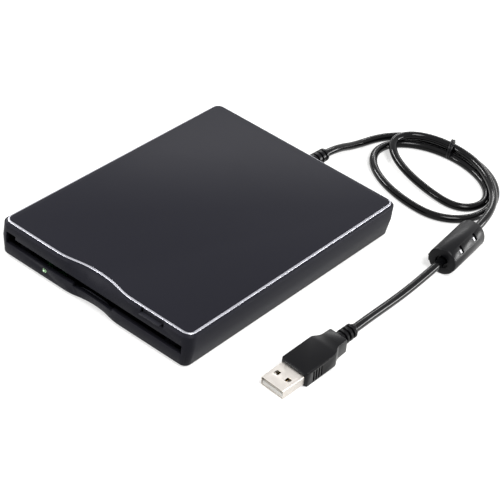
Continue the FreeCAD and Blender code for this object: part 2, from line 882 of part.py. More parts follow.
side_inner = half_drive - D.side_thickness
slide_outer = side_inner - D.side_gap
slide_inner = slide_outer - D.carrier_sheet
carrier_outer = slide_inner - D.side_gap
tall_front = drive_front + 5.0
tall_back = carrier_back - 1.0
tab_reach = 5.1
post_y = (drive_front + 2.3, drive_back - 3.5)
post_x = side_inner - 2.6
ear_front = carriage_front - D.head_stroke - 3.0
ear_back = carriage_back + 2.8
rod_z = D.rod_height + drive_bottom
lead_z = floor_top + D.can_radius
anchor_x = half_drive - 6.0
spring_z = floor_top + D.spring_radius + D.fit_gap
spring_front = drive_front + D.spring_gap
hook_y = spring_front + D.spring_length
rod_ear = 2.4
bracket_front = carriage_front - D.head_stroke + 1.2
bracket_back = carriage_back - 0.6


def make_chassis():
    body = new_body("drive_chassis")
    pad(body, "XY_Plane", drive_bottom, floor_top, rectangle(
        -half_drive, drive_front, half_drive, drive_back))
    # Side walls: their low middle is the rail that the slider runs on
    at_both_sides(pad, body, side_inner, half_drive, polygon(
        (drive_front, drive_bottom), (drive_back, drive_bottom), (drive_back, lid_seat),
        (tall_back, lid_seat), (tall_back, rail_top), (tall_front, rail_top), (tall_front, lid_seat),
        (drive_front, lid_seat)))
    # Upright slots for the carrier's pins, open at the top
    wide = D.pin_radius + D.hole_gap
    bottom = D.pin_height - D.lift - wide
    at_both_sides(pocket, body, side_inner - 0.2, half_drive + 1, *[
        rectangle(y - wide, bottom, y + wide, rail_top + 1) for y in (front_pin_y, rear_pin_y)
    ])
    # Rear wall with the gap that the main board passes through, and the lid's corner tabs
    sheet_y = drive_back - D.side_thickness
    pad(body, "XY_Plane", floor_top, lid_seat,
        rectangle(board_right + D.main_board_tail, sheet_y, side_inner, drive_back),
        rectangle(-side_inner, sheet_y, board_left - 1, drive_back))
    tabs = []
    for x in (-1, 1):
        for y, toward in ((drive_front, 1), (sheet_y, -1)):
            x0, x1 = (side_inner - tab_reach, side_inner) if x > 0 else (-side_inner, -side_inner + tab_reach)
            y0, y1 = (y, y + 4.6) if toward > 0 else (y - 5.2, y)
            tabs.append(rectangle(x0, y0, x1, y1))
    pad(body, "XY_Plane", lid_seat - D.floor_thickness, lid_seat, *tabs)
    # Ears for the guide rod, lugs for the slider's springs and pads for the main board
    pad(body, "XY_Plane", floor_top, rod_z + rod_ear, *[
        rectangle(D.rod_x - rod_ear, y, D.rod_x + rod_ear, y + 1.2) for y in (ear_front, ear_back)
    ])
    pad(body, "XY_Plane", floor_top, spring_z + D.spring_radius, *[
        rectangle(x * anchor_x - 0.8, spring_front - 0.8, x * anchor_x + 0.8, spring_front) for x in (-1, 1)
    ])
    pad(body, "XY_Plane", floor_top, board_low, *[
        rectangle(x - 1.5, y - 1.5, x + 1.5, y + 1.5)
        for x in (board_left + 3, board_right - 3) for y in (board_front + 3, drive_back - 4)
    ])
    pocket(body, "XZ_Plane", ear_front - 1, ear_back + 3, Circle(D.rod_x, rod_z, D.rod_radius + 0.02))
    pocket(body, "XY_Plane", drive_bottom - 1, floor_top + 0.01,
           Circle(0, spindle_y, D.bearing_radius + D.fit_gap),
           *[Circle(x, y, D.screw_radius + D.hole_gap) for x, y in chassis_screw_places()])
    pocket(body, "XY_Plane", lid_seat - 1.6, lid_seat + 0.01, *[
        Circle(x, y, D.pilot_radius) for x, y in lid_screw_places()
    ])


def lid_screw_places():
    return [(x * post_x, y) for x in (-1, 1) for y in post_y]


def make_lid():
    body = new_body("drive_lid")
    pad(body, "XY_Plane", lid_seat, lid_seat + D.lid_thickness, rectangle(
        -half_drive, drive_front + 0.5, half_drive, drive_back))
    pocket(body, "XY_Plane", lid_seat - 1, lid_seat + 2, *[
        Circle(x, y, D.screw_radius + D.hole_gap) for x, y in lid_screw_places()
    ])


def make_frame_screws():
    group("lid_screws", *[
        screw("lid_screw_%d" % i, x, y, lid_seat + D.lid_thickness, D.lid_thickness + D.floor_thickness, -1)
        for i, (x, y) in enumerate(lid_screw_places())
    ])
    group("chassis_screws", *[
        screw("chassis_screw_%d" % i, x, y, floor_top, D.floor_thickness + D.standoff * 1.8, -1)
        for i, (x, y) in enumerate(chassis_screw_places())
    ])


# ---------------------------------------------------------------- disk path

def make_carrier():
    """A sheet channel: top, two sides and the two rails that the disk slides in on."""
    body = new_body("disk_carrier")
    rail_inner = carrier_outer - D.rail_width
    inner = carrier_outer - D.carrier_sheet
    pad(body, "XZ_Plane", carrier_front, carrier_back, polygon(
        (-carrier_outer, carrier_bottom), (-rail_inner, carrier_bottom), (-rail_inner, bay_low),
        (-inner, bay_low), (-inner, bay_high), (inner, bay_high), (inner, bay_low), (rail_inner, bay_low),
        (rail_inner, carrier_bottom), (carrier_outer, carrier_bottom), (carrier_outer, carrier_top),
        (-carrier_outer, carrier_top)))
    window_front = head_y - D.head_stroke - 5.5
    pocket(body, "XY_Plane", bay_high - 0.1, carrier_top + 1, rectangle(
        window_left, window_front, window_right, carrier_back + 1))
    pins = [Circle(y, D.pin_height, D.pin_radius) for y in (front_pin_y, rear_pin_y)]
    at_both_sides(pad, body, carrier_outer - 0.2, half_drive - 0.1, *pins)
    stop = carrier_back - 1.0
    pad(body, "XY_Plane", bay_low + 1, bay_high, *[
        rectangle(x * 33.0 - 3, stop - D.carrier_sheet, x * 33.0 + 3, stop) for x in (-1, 1)
    ])


window_left, window_right = lever_x + D.lever_window_gap, Size(8.0)
slider_half = half_drive - 0.1
slider_front = carrier_front + 0.5
slider_back = carrier_back - 3.0
neck = side_inner - tab_reach - 1.0
wing_front = tall_front + D.travel + 1.0


def make_slider():
    """The plate that rides on the side walls, with slanted slots in its two side flanges."""
    body = new_body("slider_plate")
    tongue = D.stem_width / 2
    cutout = head_y - D.head_stroke - 4.0
    pad(body, "XY_Plane", slider_bottom, slider_top, polygon(
        (-neck, slider_front), (button_x - tongue, slider_front), (button_x - tongue, tab_front),
        (button_x + tongue, tab_front), (button_x + tongue, slider_front), (neck, slider_front),
        (neck, wing_front), (slider_half, wing_front), (slider_half, slider_back),
        (window_right + 2, slider_back), (window_right + 2, cutout), (window_left - 2, cutout),
        (window_left - 2, slider_back), (-slider_half, slider_back), (-slider_half, wing_front),
        (-neck, wing_front)))
    flange_low = carrier_bottom - 1.0
    at_both_sides(pad, body, slide_inner, slide_outer, polygon(
        (wing_front + 4, flange_low), (hook_y - 3, flange_low), (hook_y - 3, floor_top + D.hole_gap),
        (hook_y + 3, floor_top + D.hole_gap), (hook_y + 3, flange_low), (slider_back - 4, flange_low),
        (slider_back - 4, slider_bottom + 0.1), (wing_front + 4, slider_bottom + 0.1)))
    width = D.pin_radius + D.hole_gap
    at_both_sides(pocket, body, slide_inner - 0.2, slide_outer + 0.2, *[
        slanted_slot(y, D.pin_height, y + D.travel, D.pin_height - D.lift, width)
        for y in (front_pin_y, rear_pin_y)
    ])
    hooks = [
        rectangle(-slide_outer, hook_y, -anchor_x + 0.8, hook_y + 0.8),
        rectangle(anchor_x - 0.8, hook_y, slide_outer, hook_y + 0.8),
    ]
    pad(body, "XY_Plane", floor_top + D.hole_gap, spring_z + D.spring_radius, *hooks)
    pad(body, "XY_Plane", slider_bottom, button_low + D.stem_height, rectangle(
        button_x - tongue, tab_front, button_x + tongue, tab_front + D.carrier_sheet))


def make_slider_springs():
    group("slider_springs", *[
        rod("slider_spring_%d" % x, "Y", x * anchor_x, spring_front, spring_z, D.spring_radius,
            hook_y - spring_front)
        for x in (-1, 1)
    ])


lever_low = carrier_top + 0.3
lever_high = lever_low + D.lever_thickness
post_foot = 3.2
post_neck = 2.2
spring_seat = lever_low - 2.5


def make_lever():
    """A tapered arm with a down-turned pin, on a shouldered post."""
    body = new_body("shutter_lever")
    big, small, length = Size(3.2), D.lever_pin_radius + 0.6, D.lever_length
    nx = (big - small) / length
    ny = long_side_left(nx)
    path = Path(big * nx, -big * ny).line(length + small * nx, -small * ny)
    path.arc(length + small, 0, small, 1).arc(length + small * nx, small * ny, small, 1)
    path.line(big * nx, big * ny).arc(-big, 0, big, 1).arc(big * nx, -big * ny, big, 1).joined()
    pad(body, "XY_Plane", lever_low, lever_high, path)
    pad(body, "XY_Plane", bay_low + 1, lever_high, Circle(length, 0, D.lever_pin_radius))
    pocket(body, "XY_Plane", lever_low - 1, lever_high + 1, Circle(0, 0, D.lever_pin_radius + D.fit_gap))
    placed(body, lever_x, lever_y, 0, Rotation(Vector(0, 0, 1), LEVER_ANGLE))
    x, y = lever_x, lever_y
    post = fuse(
        "lever_post",
        rod("post_foot", "Z", x, y, floor_top, post_foot, spring_seat - floor_top),
        rod("post_neck", "Z", x, y, floor_top, post_neck, lever_low - D.fit_gap - floor_top),
        rod("post_pin", "Z", x, y, floor_top, D.lever_pin_radius, lever_high + D.fit_gap - floor_top),
        rod("post_clip", "Z", x, y, lever_high + D.fit_gap, post_neck, 0.4),
    )
    keep(post, "lever_post")
    keep(ring("lever_spring", x, y, spring_seat, post_foot - 0.1, post_neck + D.fit_gap,
              lever_low - spring_seat - D.fit_gap), "lever_spring")


LEVER_ANGLE = -50.0


def long_side_left(share):
    """The other short side where the slanted side is 1 and one short side is share."""
    return Size(math.sqrt(1 - share.value ** 2), "sqrt(1 - %s * %s)" % (share.text, share.text))


# ---------------------------------------------------------------- spindle motor

motor_top = floor_top + D.board_thickness
coil_top = motor_top + D.coil_thickness
magnet_low = coil_top + D.rotor_clearance
rotor_low = magnet_low + D.magnet_thickness
rotor_high = rotor_low + D.rotor_sheet
hub_high = rotor_high + D.hub_thickness
shaft_top = hub_high + D.shaft_rise


STATOR_COILS = 6


def wedge(name, inset, thickness):
    """A flat trapezoid that points at the spindle, drawn in by an inset."""
    item = doc.addObject("Part::Wedge", name)
    inner, outer = D.coil_inner_half - inset * 0.6, D.coil_outer_half - inset
    low = (D.coil_thickness - thickness) / 2
    for prop, value in (
        ("Xmin", -inner), ("Xmax", inner), ("X2min", -outer), ("X2max", outer),
        ("Ymin", D.coil_inner_end + inset), ("Ymax", D.coil_outer_end - inset),
        ("Zmin", low), ("Zmax", low + thickness), ("Z2min", low), ("Z2max", low + thickness),
    ):
        bind(item, prop, value)
    return item


def make_motor():
    y = spindle_y
    body = new_body("motor_board")
    tail, reach = D.motor_tail_half, D.motor_tail_length
    pad(body, "XY_Plane", floor_top, motor_top, Circle(0, y, D.motor_board_radius))
    pad(body, "XY_Plane", floor_top, motor_top, rectangle(-reach, y - tail, -reach / 3, y + tail))
    pocket(body, "XY_Plane", floor_top - 1, motor_top + 1, Circle(0, y, D.bearing_radius + D.fit_gap))
    coils = []
    for i in range(STATOR_COILS):
        coil = cut(
            "coil_%d" % i,
            wedge("winding_%d" % i, Size(0), D.coil_thickness),
            wedge("winding_hole_%d" % i, D.coil_winding, D.coil_thickness * 3),
        )
        placed(coil, 0, y, motor_top, Rotation(Vector(0, 0, 1), 360 / STATOR_COILS * i))
        coils.append(coil)
    group("stator_coils", *coils)
    keep(ring("spindle_bearing", 0, y, drive_bottom, D.bearing_radius, D.shaft_radius + D.fit_gap,
              coil_top - drive_bottom), "spindle_bearing")
    rim = D.carrier_sheet
    rotor = cut(
        "spindle_rotor",
        rod("rotor_disc", "Z", 0, y, motor_top + D.rotor_clearance, D.rotor_radius,
            rotor_high - motor_top - D.rotor_clearance),
        rod("rotor_hollow", "Z", 0, y, motor_top, D.rotor_radius - rim, rotor_low - motor_top),
        rod("rotor_bore", "Z", 0, y, motor_top, D.shaft_radius, 5),
    )
    keep(rotor, "spindle_rotor")
    keep(ring("rotor_magnet", 0, y, magnet_low, D.magnet_radius, D.bearing_radius + 2, D.magnet_thickness),
         "rotor_magnet")
    keep(rod("spindle_shaft", "Z", 0, y, drive_bottom + 0.15, D.shaft_radius,
             shaft_top - drive_bottom - 0.15), "spindle_shaft")
    keep(ring("spindle_hub", 0, y, rotor_high, D.hub_radius, D.shaft_radius, D.hub_thickness), "spindle_hub")
    pin_y = y - D.drive_pin_circle
    keep(rod("drive_pin", "Z", 0, pin_y, hub_high, D.drive_pin_radius, D.shaft_rise), "drive_pin")


# ---------------------------------------------------------------- heads

arm_half = D.arm_width / 2
lower_arm = floor_top + D.lower_arm_rise
hinge_z = D.upper_head_bottom + 0.6
block_top = hinge_z - 1.1
head_front = head_y - D.head_length / 2 - 0.4
arm_gap = 0.3
cheek = 1.7
nut_y = carriage_front + 3.0
nut_length = 4.0
flag_x = -5.4
gate_left = flag_x - 2.7


def make_carriage():
    body = new_body("head_carriage")
    left, right = -arm_half - cheek - arm_gap, D.rod_x + 3.0
    pad(body, "XY_Plane", lower_arm, lower_arm + D.arm_thickness, rectangle(
        -arm_half, head_front, arm_half, carriage_front + 1))
    pad(body, "XY_Plane", lower_arm, block_top, rectangle(left, carriage_front, right, carriage_back))
    # Cheeks for the upper arm's pin
    y, r = arm_hinge_y, D.arm_pin_radius + 1.0
    for x0 in (left, arm_half + arm_gap):
        pad(body, "YZ_Plane", x0, x0 + cheek, rectangle(y - r, block_top - 1, y + r, hinge_z + r))
    pocket(body, "YZ_Plane", left - 1, -left + 1, Circle(y, hinge_z, D.arm_pin_radius + 0.02))
    # Nut for the lead screw, and the bore for the guide rod
    half = D.thread_radius + 1.5
    pad(body, "XZ_Plane", nut_y, nut_y + nut_length, rectangle(
        right - 1, lead_z - half, D.screw_x + half, lead_z + half))
    thread_bore = Circle(D.screw_x, lead_z, D.thread_radius + D.fit_gap)
    pocket(body, "XZ_Plane", nut_y - 1, nut_y + nut_length + 1, thread_bore)
    rod_bore = Circle(D.rod_x, rod_z, D.rod_radius + D.fit_gap)
    pocket(body, "XZ_Plane", carriage_front - 1, carriage_back + 1, rod_bore)
    # Flag for the track-zero gate
    pad(body, "YZ_Plane", flag_x, flag_x + 0.5, rectangle(
        carriage_back - 1, rod_z, carriage_back + 3.6, rod_z + 2.4))


def make_heads():
    half = D.head_width / 2
    y0, y1 = head_y - D.head_length / 2, head_y + D.head_length / 2
    head_low = lower_arm + D.arm_thickness
    keep(box("lower_head", (-half, y0, head_low), (half, y1, D.lower_head_top)), "lower_head")
    body = new_body("upper_head_arm")
    low = hinge_z
    y, r = arm_hinge_y, D.arm_pin_radius + 0.8
    taper = D.head_width / 2 + 0.8
    pad(body, "XY_Plane", low, low + D.arm_thickness, polygon(
        (-taper, head_front), (taper, head_front), (taper, y1 + 1.5), (arm_half, y - 14), (arm_half, y),
        (-arm_half, y), (-arm_half, y - 14), (-taper, y1 + 1.5)))
    pad(body, "YZ_Plane", -arm_half, arm_half, Circle(y, hinge_z, D.arm_pin_radius + 0.35))
    pocket(body, "YZ_Plane", -arm_half - 1, arm_half + 1, Circle(y, hinge_z, D.arm_pin_radius + D.fit_gap))
    keep(box("upper_head", (-half, y0, D.upper_head_bottom), (half, y1, low)), "upper_head")
    arm_top = low + D.arm_thickness
    keep(box("arm_spring", (-1.6, head_front + 3, arm_top), (1.6, y - 4, arm_top + 0.25)), "arm_spring")
    reach = arm_half + arm_gap + cheek
    keep(rod("arm_pin", "X", -reach, y, hinge_z, D.arm_pin_radius, reach * 2), "arm_pin")


def make_head_drive():
    rod_length = ear_back + 1.2 - ear_front
    keep(rod("guide_rod", "Y", D.rod_x, ear_front, rod_z, D.rod_radius, rod_length), "guide_rod")
    sheet_thick = D.bracket_sheet
    body = new_body("motor_bracket")
    half = D.can_radius + 0.3
    left, right = D.screw_x - half, D.screw_x + half
    foot = floor_top + sheet_thick
    pad(body, "XY_Plane", floor_top, foot, rectangle(left, bracket_front, right, bracket_back))
    ear = D.thread_radius + 2
    pad(body, "XZ_Plane", bracket_front, bracket_front + sheet_thick, rectangle(
        D.screw_x - ear, floor_top, D.screw_x + ear, lead_z + ear))
    pad(body, "XZ_Plane", bracket_back - sheet_thick, bracket_back, rectangle(
        left, floor_top, right, lead_z + D.can_radius))
    pocket(body, "XZ_Plane", bracket_front - 1, bracket_back + 1, Circle(
        D.screw_x, lead_z, D.journal_radius + D.fit_gap))
    can = cut(
        "stepper_motor",
        rod("can", "Y", D.screw_x, bracket_back, lead_z, D.can_radius, D.can_length),
        rod("can_bore", "Y", D.screw_x, bracket_back - 1, lead_z, D.journal_radius + D.fit_gap, 3.5),
    )
    keep(can, "stepper_motor")
    thread_front = bracket_front + sheet_thick + 0.2
    thread_back = bracket_back - sheet_thick - 0.2
    lead = fuse(
        "lead_screw",
        rod("thread", "Y", D.screw_x, thread_front, lead_z, D.thread_radius, thread_back - thread_front),
        rod("journals", "Y", D.screw_x, bracket_front, lead_z, D.journal_radius,
            bracket_back + 2 - bracket_front),
    )
    keep(lead, "lead_screw")
    gate_y = carriage_back + 1.2
    gate = cut(
        "track_zero_sensor",
        box("gate_block", (gate_left, gate_y, floor_top), (flag_x + 3.2, gate_y + 4.2, rod_z + 3)),
        box("gate_gap", (flag_x - 0.4, gate_y - 1, rod_z - 0.6), (flag_x + 0.9, gate_y + 3.2, rod_z + 4)),
    )
    keep(gate, "track_zero_sensor")


# ---------------------------------------------------------------- electronics

board_left = D.main_board_from_side - half_drive
board_right = gate_left - D.main_board_gap
board_front = lever_y + 4.0
board_back = back - D.wall - 2.6
board_low = floor_top + 0.5
board_high = board_low + D.main_board_thickness
tail_front = drive_back + 0.4


def make_electronics():
    body = new_body("main_board")
    pad(body, "XY_Plane", board_low, board_high, polygon(
        (board_left, board_front), (board_right, board_front), (board_right, tail_front),
        (board_right + D.main_board_tail - 1, tail_front), (board_right + D.main_board_tail - 1, board_back),
        (board_left, board_back)))
    half = D.chip_side / 2
    x, y = (board_left + board_right) / 2, (board_front + drive_back) / 2
    keep(box("controller_chip", (x - half, y - half, board_high), (x + half, y + half, board_high + 1.2)),
         "controller_chip")
    small = [box("crystal", (x - 2, y + 7, board_high), (x + 5, y + 10, board_high + 1.8))]
    for i in range(5):
        left = x - 9 + i * 3.6
        near = y - half - 3.2
        small.append(box("capacitor_%d" % i, (left, near, board_high), (left + 1.6, near + 1, board_high + 0.8)))
    group("board_parts", *small)
    plug_x = D.boot_x
    y0 = tail_front + 0.4
    header_top = board_high + 2.4
    keep(box("usb_header", (plug_x - 4.5, y0, board_high), (plug_x + 4.5, y0 + 3.2, header_top)), "usb_header")
    housing = box("plug_housing", (plug_x - 4.0, y0 + 0.2, header_top), (plug_x + 4.0, y0 + 3.6, boot_z + 2.4))
    wires_front = y0 + 3.3
    wires_length = boot_seat - boot_flange - wires_front
    wires = rod("plug_wires", "Y", plug_x, wires_front, boot_z, D.cord_radius, wires_length)
    keep(fuse("wire_plug", housing, wires), "wire_plug")
    ribbon_y = spindle_y + 7.0
    ribbon_left = 1.0 - D.motor_tail_length
    keep(box("motor_ribbon", (ribbon_left, ribbon_y, floor_top), (
        ribbon_left + D.ribbon_width, board_front + 2, floor_top + D.ribbon_thickness)), "motor_ribbon")


# ---------------------------------------------------------------- lead

BOOT_GROOVES = 5


def make_boot():
    """Strain relief: a flange inside the wall, a neck through it and a ringed sleeve outside."""
    pitch, groove, depth = D.boot_pitch, D.boot_groove, D.boot_groove_depth
    r, neck_radius = D.boot_radius, D.boot_neck
    path = Path(0, boot_seat - boot_flange)
    path.line(r + 0.8, boot_seat - boot_flange).line(r + 0.8, boot_seat).line(neck_radius, boot_seat)
    path.line(neck_radius, back).line(r, back)
    for i in range(BOOT_GROOVES):
        start = back + 1.6 + i * pitch
        path.line(r, start).line(r - depth, start).line(r - depth, start + groove).line(r, start + groove)
    path.line(r, back + D.boot_length).line(0, back + D.boot_length).close()
    body = new_body("cord_boot")
    turned(body, "XY_Plane", 0, "V_Axis", path)
    placed(body, D.boot_x, 0, boot_z, Rotation())


def smooth_turns(points):
    """Edges of the lead's middle line: straight runs joined by tangent arcs, and the arcs' radii."""
    spots = [Vector(*point) for point in points]
    runs = [b - a for a, b in zip(spots, spots[1:])]
    edges, radii, at = [], [], spots[0]
    for corner, before, after in zip(spots[1:-1], runs, runs[1:]):
        half_turn = before.getAngle(after) / 2
        reach = 0.45 * min(before.Length, after.Length)
        radii.append(reach / math.tan(half_turn))
        start = corner - before * (reach / before.Length)
        end = corner + after * (reach / after.Length)
        inward = ((start + end) * 0.5 - corner).normalize()
        middle = corner + inward * (radii[-1] / math.cos(half_turn) - radii[-1])
        edges.append(Part.LineSegment(at, start).toShape())
        edges.append(Part.Arc(start, middle, end).toShape())
        at = end
    edges.append(Part.LineSegment(at, spots[-1]).toShape())
    return edges, radii


def make_cord(name, points):
    edges, radii = smooth_turns(points)
    path = Part.Wire(edges)
    r = D.cord_radius.value
    start, direction = Vector(*points[0]), Vector(*points[1]) - Vector(*points[0])
    section = Part.Wire([Part.Circle(start, direction, r).toShape()])
    tube = path.makePipeShell([section], True, True)
    item = doc.addObject("Part::Feature", name)
    item.Shape = tube
    expected = math.pi * r * r * path.Length
    print("%s: length %.1f, radii %s, volume %.1f of %.1f" % (
        name, path.Length, [round(radius, 1) for radius in radii], tube.Volume, expected))
    return keep(item, name)


def smooth_loop(points, z, sides):
    """A closed outline of short straight sides along a smooth curve through the points."""
    curve = Part.BSplineCurve()
    curve.interpolate([Vector(x, y, z) for x, y in points], PeriodicFlag=True)
    corners = curve.discretize(sides + 1)
    return Part.makePolygon(corners[:-1] + corners[:1])


def make_coil():
    """The outer shape of the two tied turns, in one solid that rests on the ground."""
    low = 0.05
    outer, inner = Part.Face(smooth_loop(COIL_OUTER, low, 64)), Part.Face(smooth_loop(COIL_INNER, low, 40))
    item = doc.addObject("Part::Feature", "cord_coil")
    item.Shape = outer.cut(inner).extrude(Vector(0, 0, D.coil_height.value - low))
    keep(item, "cord_coil")
    tie = box("tie_block", (-6.7, -1.6, 0), (6.7, 1.6, 0.9 + 2 * D.cord_radius))
    placed(group("cord_tie", tie), *TIE_PLACE, low, Rotation(Vector(0, 0, 1), TIE_ANGLE))


TIE_PLACE = (32.3, 146.0)
TIE_ANGLE = -66.5
FERRITE_PLACE = (83.5, 61.0)
FERRITE_ANGLE = 95.89
PLUG_PLACE = (83.3, -42.4)
PLUG_ANGLES = (-94.5, 7.4, 0)


def common(name, *shapes):
    item = doc.addObject("Part::MultiCommon", name)
    item.Shapes = list(shapes)
    return item


def make_ferrite():
    """Two snap shells, hinged along one side, round a split core. The lead runs along +X here."""
    r, length, wall, split = D.ferrite_radius, D.ferrite_length, D.ferrite_wall, D.ferrite_split
    end, inner = wall, D.ferrite_radius - D.ferrite_wall
    mouth = D.cord_radius + 0.8
    hinge_y, knuckle, pin = r + 0.75, 0.9, 0.4
    gap = D.hole_gap
    core_half, tab_x = inner * 0.76, (length * 0.26, length * 0.74)
    tab_y = core_half + 0.06

    def tube(name):
        hollow = rod(name + "_hollow", "X", end, 0, 0, inner, length - end * 2)
        bore = rod(name + "_bore", "X", -1, 0, 0, mouth, length + 2)
        return cut(name, rod(name + "_outer", "X", 0, 0, 0, r, length), hollow, bore)

    base = fuse(
        "base_parts",
        common("base_half", tube("base_tube"), box(
            "base_zone", (-1, -r - 1, -r - 1), (length + 1, r + 1, -split))),
        *[box("tab_%d" % i, (x - 1.2, -tab_y - 0.34, -split - 1.6), (x + 1.2, -tab_y, 0.4))
          for i, x in enumerate(tab_x)],
        *[rod("knuckle_%d" % i, "X", x, hinge_y, -split, knuckle, 4.0)
          for i, x in enumerate((3.0, length - 7))],
        *[box("web_%d" % i, (x, r - 1.0, -split - knuckle), (x + 4, hinge_y, -split - gap))
          for i, x in enumerate((3.0, length - 7))],
        rod("hinge_pin", "X", 4.0, hinge_y, -split, pin, length - 8),
    )
    place = (*FERRITE_PLACE, r + D.fit_gap, Rotation(Vector(0, 0, 1), FERRITE_ANGLE))
    keep(placed(base, *place), "ferrite_base")

    cover_zone = box("cover_zone", (-1, -r - 1, -split + gap), (length + 1, r + 1, r + 1))
    slots = box("mouth_slots", (-1, -mouth, -r), (length + 1, mouth, 0))
    windows = [
        box("window_%d" % i, (x - 1.5, -r - 1, -split + 1.1), (x + 1.5, -inner + 0.6, -split + 4.6))
        for i, x in enumerate(tab_x)
    ]
    solid = fuse(
        "cover_parts",
        cut("cover_half", common("cover_shell", tube("cover_tube"), cover_zone), slots, *windows),
        rod("cover_knuckle", "X", 7.0 + gap, hinge_y, -split, knuckle, length - 14 - gap * 2),
        box("cover_web", (7.0 + gap, r - 1.0, -split + gap), (length - 7 - gap, hinge_y, -split + knuckle)),
    )
    pin_bore = rod("cover_pin_bore", "X", 2, hinge_y, -split, pin + D.fit_gap, length)
    keep(placed(cut("ferrite_cover", solid, pin_bore), *place), "ferrite_cover")

    for name, low, high in (("ferrite_core_lower", -inner, -0.05), ("ferrite_core_upper", 0.05, inner)):
        core = cut(
            name,
            common(
                name + "_shape",
                rod(name + "_round", "X", end + gap, 0, 0, inner - D.fit_gap, length - (end + gap) * 2),
                box(name + "_zone", (0, -core_half, low), (length, core_half, high)),
            ),
            rod(name + "_bore", "X", 0, 0, 0, D.ferrite_bore, length),
        )
        keep(placed(core, *place), name)


def make_plug():
    """USB type A plug. Its metal shell points along +X here, out of the overmould's face."""
    turn = Rotation(*PLUG_ANGLES)
    place = (*PLUG_PLACE, D.plug_height / 2, turn)
    half, deep, length = D.plug_width / 2, D.plug_height / 2, D.plug_length
    neck_half, neck_deep, shoulder_x = D.relief_radius + 0.6, D.relief_radius + 0.3, length * 0.58
    sunk = 2.0
    body = new_body("plug_overmould")
    plan = Path(0, -half).line(0, half).line(-shoulder_x, half)
    bend = length - 2 - shoulder_x
    plan.arc(-shoulder_x - bend, neck_half, bend * 1.25, -1).line(-length, neck_half)
    plan.line(-length, -neck_half).line(-shoulder_x - bend, -neck_half)
    plan.arc(-shoulder_x, -half, bend * 1.25, -1).close()
    pad(body, "XY_Plane", -deep, deep, plan)
    slope = [
        polygon((-shoulder_x, sign * deep), (-length, sign * neck_deep), (-length - 1, sign * neck_deep),
                (-length - 1, sign * (deep + 1)), (-shoulder_x, sign * (deep + 1)))
        for sign in (-1, 1)
    ]
    pocket(body, "XZ_Plane", -half - 1, half + 1, *slope)
    grooves = []
    for i in range(5):
        x = -3.2 - i * 2.0
        grooves += [rectangle(x - 0.8, y - 0.75, x, y + 0.75) for y in (half + 0.25, -half - 0.25)]
    pocket(body, "XY_Plane", -deep - 1, deep + 1, *grooves)
    gap = D.fit_gap
    room_y, room_z = D.shell_width / 2 + gap, D.shell_height / 2 + gap
    pocket(body, "YZ_Plane", -sunk, 1, rounded_rectangle(-room_y, -room_z, room_y, room_z, Size(0.6)))
    r, pitch = D.relief_radius, D.relief_length / 4
    path = Path(-length + 1, 0).line(-length + 1, r)
    for i in range(3):
        start = -length - 0.9 - i * pitch
        path.line(start, r).line(start, r - 0.7).line(start - 0.9, r - 0.7).line(start - 0.9, r)
    path.line(-length - D.relief_length, r).line(-length - D.relief_length, 0).close()
    turned(body, "XY_Plane", 0, "H_Axis", path)
    placed(body, *place)

    shell = new_body("plug_shell")
    thick = D.shell_sheet
    w, h = D.shell_width / 2, D.shell_height / 2
    pad(shell, "YZ_Plane", -sunk, D.shell_length, rounded_rectangle(-w, -h, w, h, Size(0.55)))
    pocket(shell, "YZ_Plane", -sunk - 1, D.shell_length + 1, rounded_rectangle(
        -w + thick, -h + thick, w - thick, h - thick, Size(0.25)))
    hole_x = D.shell_length * 0.5
    pocket(shell, "XY_Plane", h - thick - 0.2, h + 1, *[
        rectangle(hole_x - 1.1, y - 1.1, hole_x + 1.1, y + 1.1) for y in (-2.9, 2.9)
    ])
    placed(shell, *place)
    room = thick + gap * 2
    tongue = box("tongue_block", (-sunk, room - w, room - h), (D.shell_length - 0.4, w - room, 0))
    placed(group("plug_tongue", tongue), *place)
    contacts = [
        box("contact_%d" % i, (-sunk, y - 0.5, 0), (D.shell_length - 1.6, y + 0.5, 0.15))
        for i, y in enumerate((-3.5, -1.0, 1.0, 3.5))
    ]
    placed(group("plug_contacts", *contacts), *place)


make_top_cover()
make_trim()
make_bottom_cover()
make_case_screws()
make_feet()
make_eject_button()
make_lamp()
make_flap()
make_chassis()
make_lid()
make_frame_screws()
make_carrier()
make_slider()
make_slider_springs()
make_lever()
make_motor()
make_carriage()
make_heads()
make_head_drive()
make_electronics()
make_boot()
make_cord("cord_lead_in", LEAD_IN_ROUTE)
make_coil()
make_cord("cord_lead_out", LEAD_OUT_ROUTE)
make_ferrite()
make_plug()

doc.recompute()

faults = [item.Label for item in doc.Objects if "Invalid" in item.State or "Error" in item.State]
faults += [item.Label for item in nodes if item.Shape.isNull() or not item.Shape.isValid()]
if faults:
    raise RuntimeError("failed objects: " + ", ".join(faults))
for item in nodes:
    print("%-20s %d solids, %.2f mm3" % (item.Label, len(item.Shape.Solids), item.Shape.Volume))
os.makedirs("parts", exist_ok=True)
for item in nodes:
    item.Shape.exportStep("parts/%s.step" % item.Label)
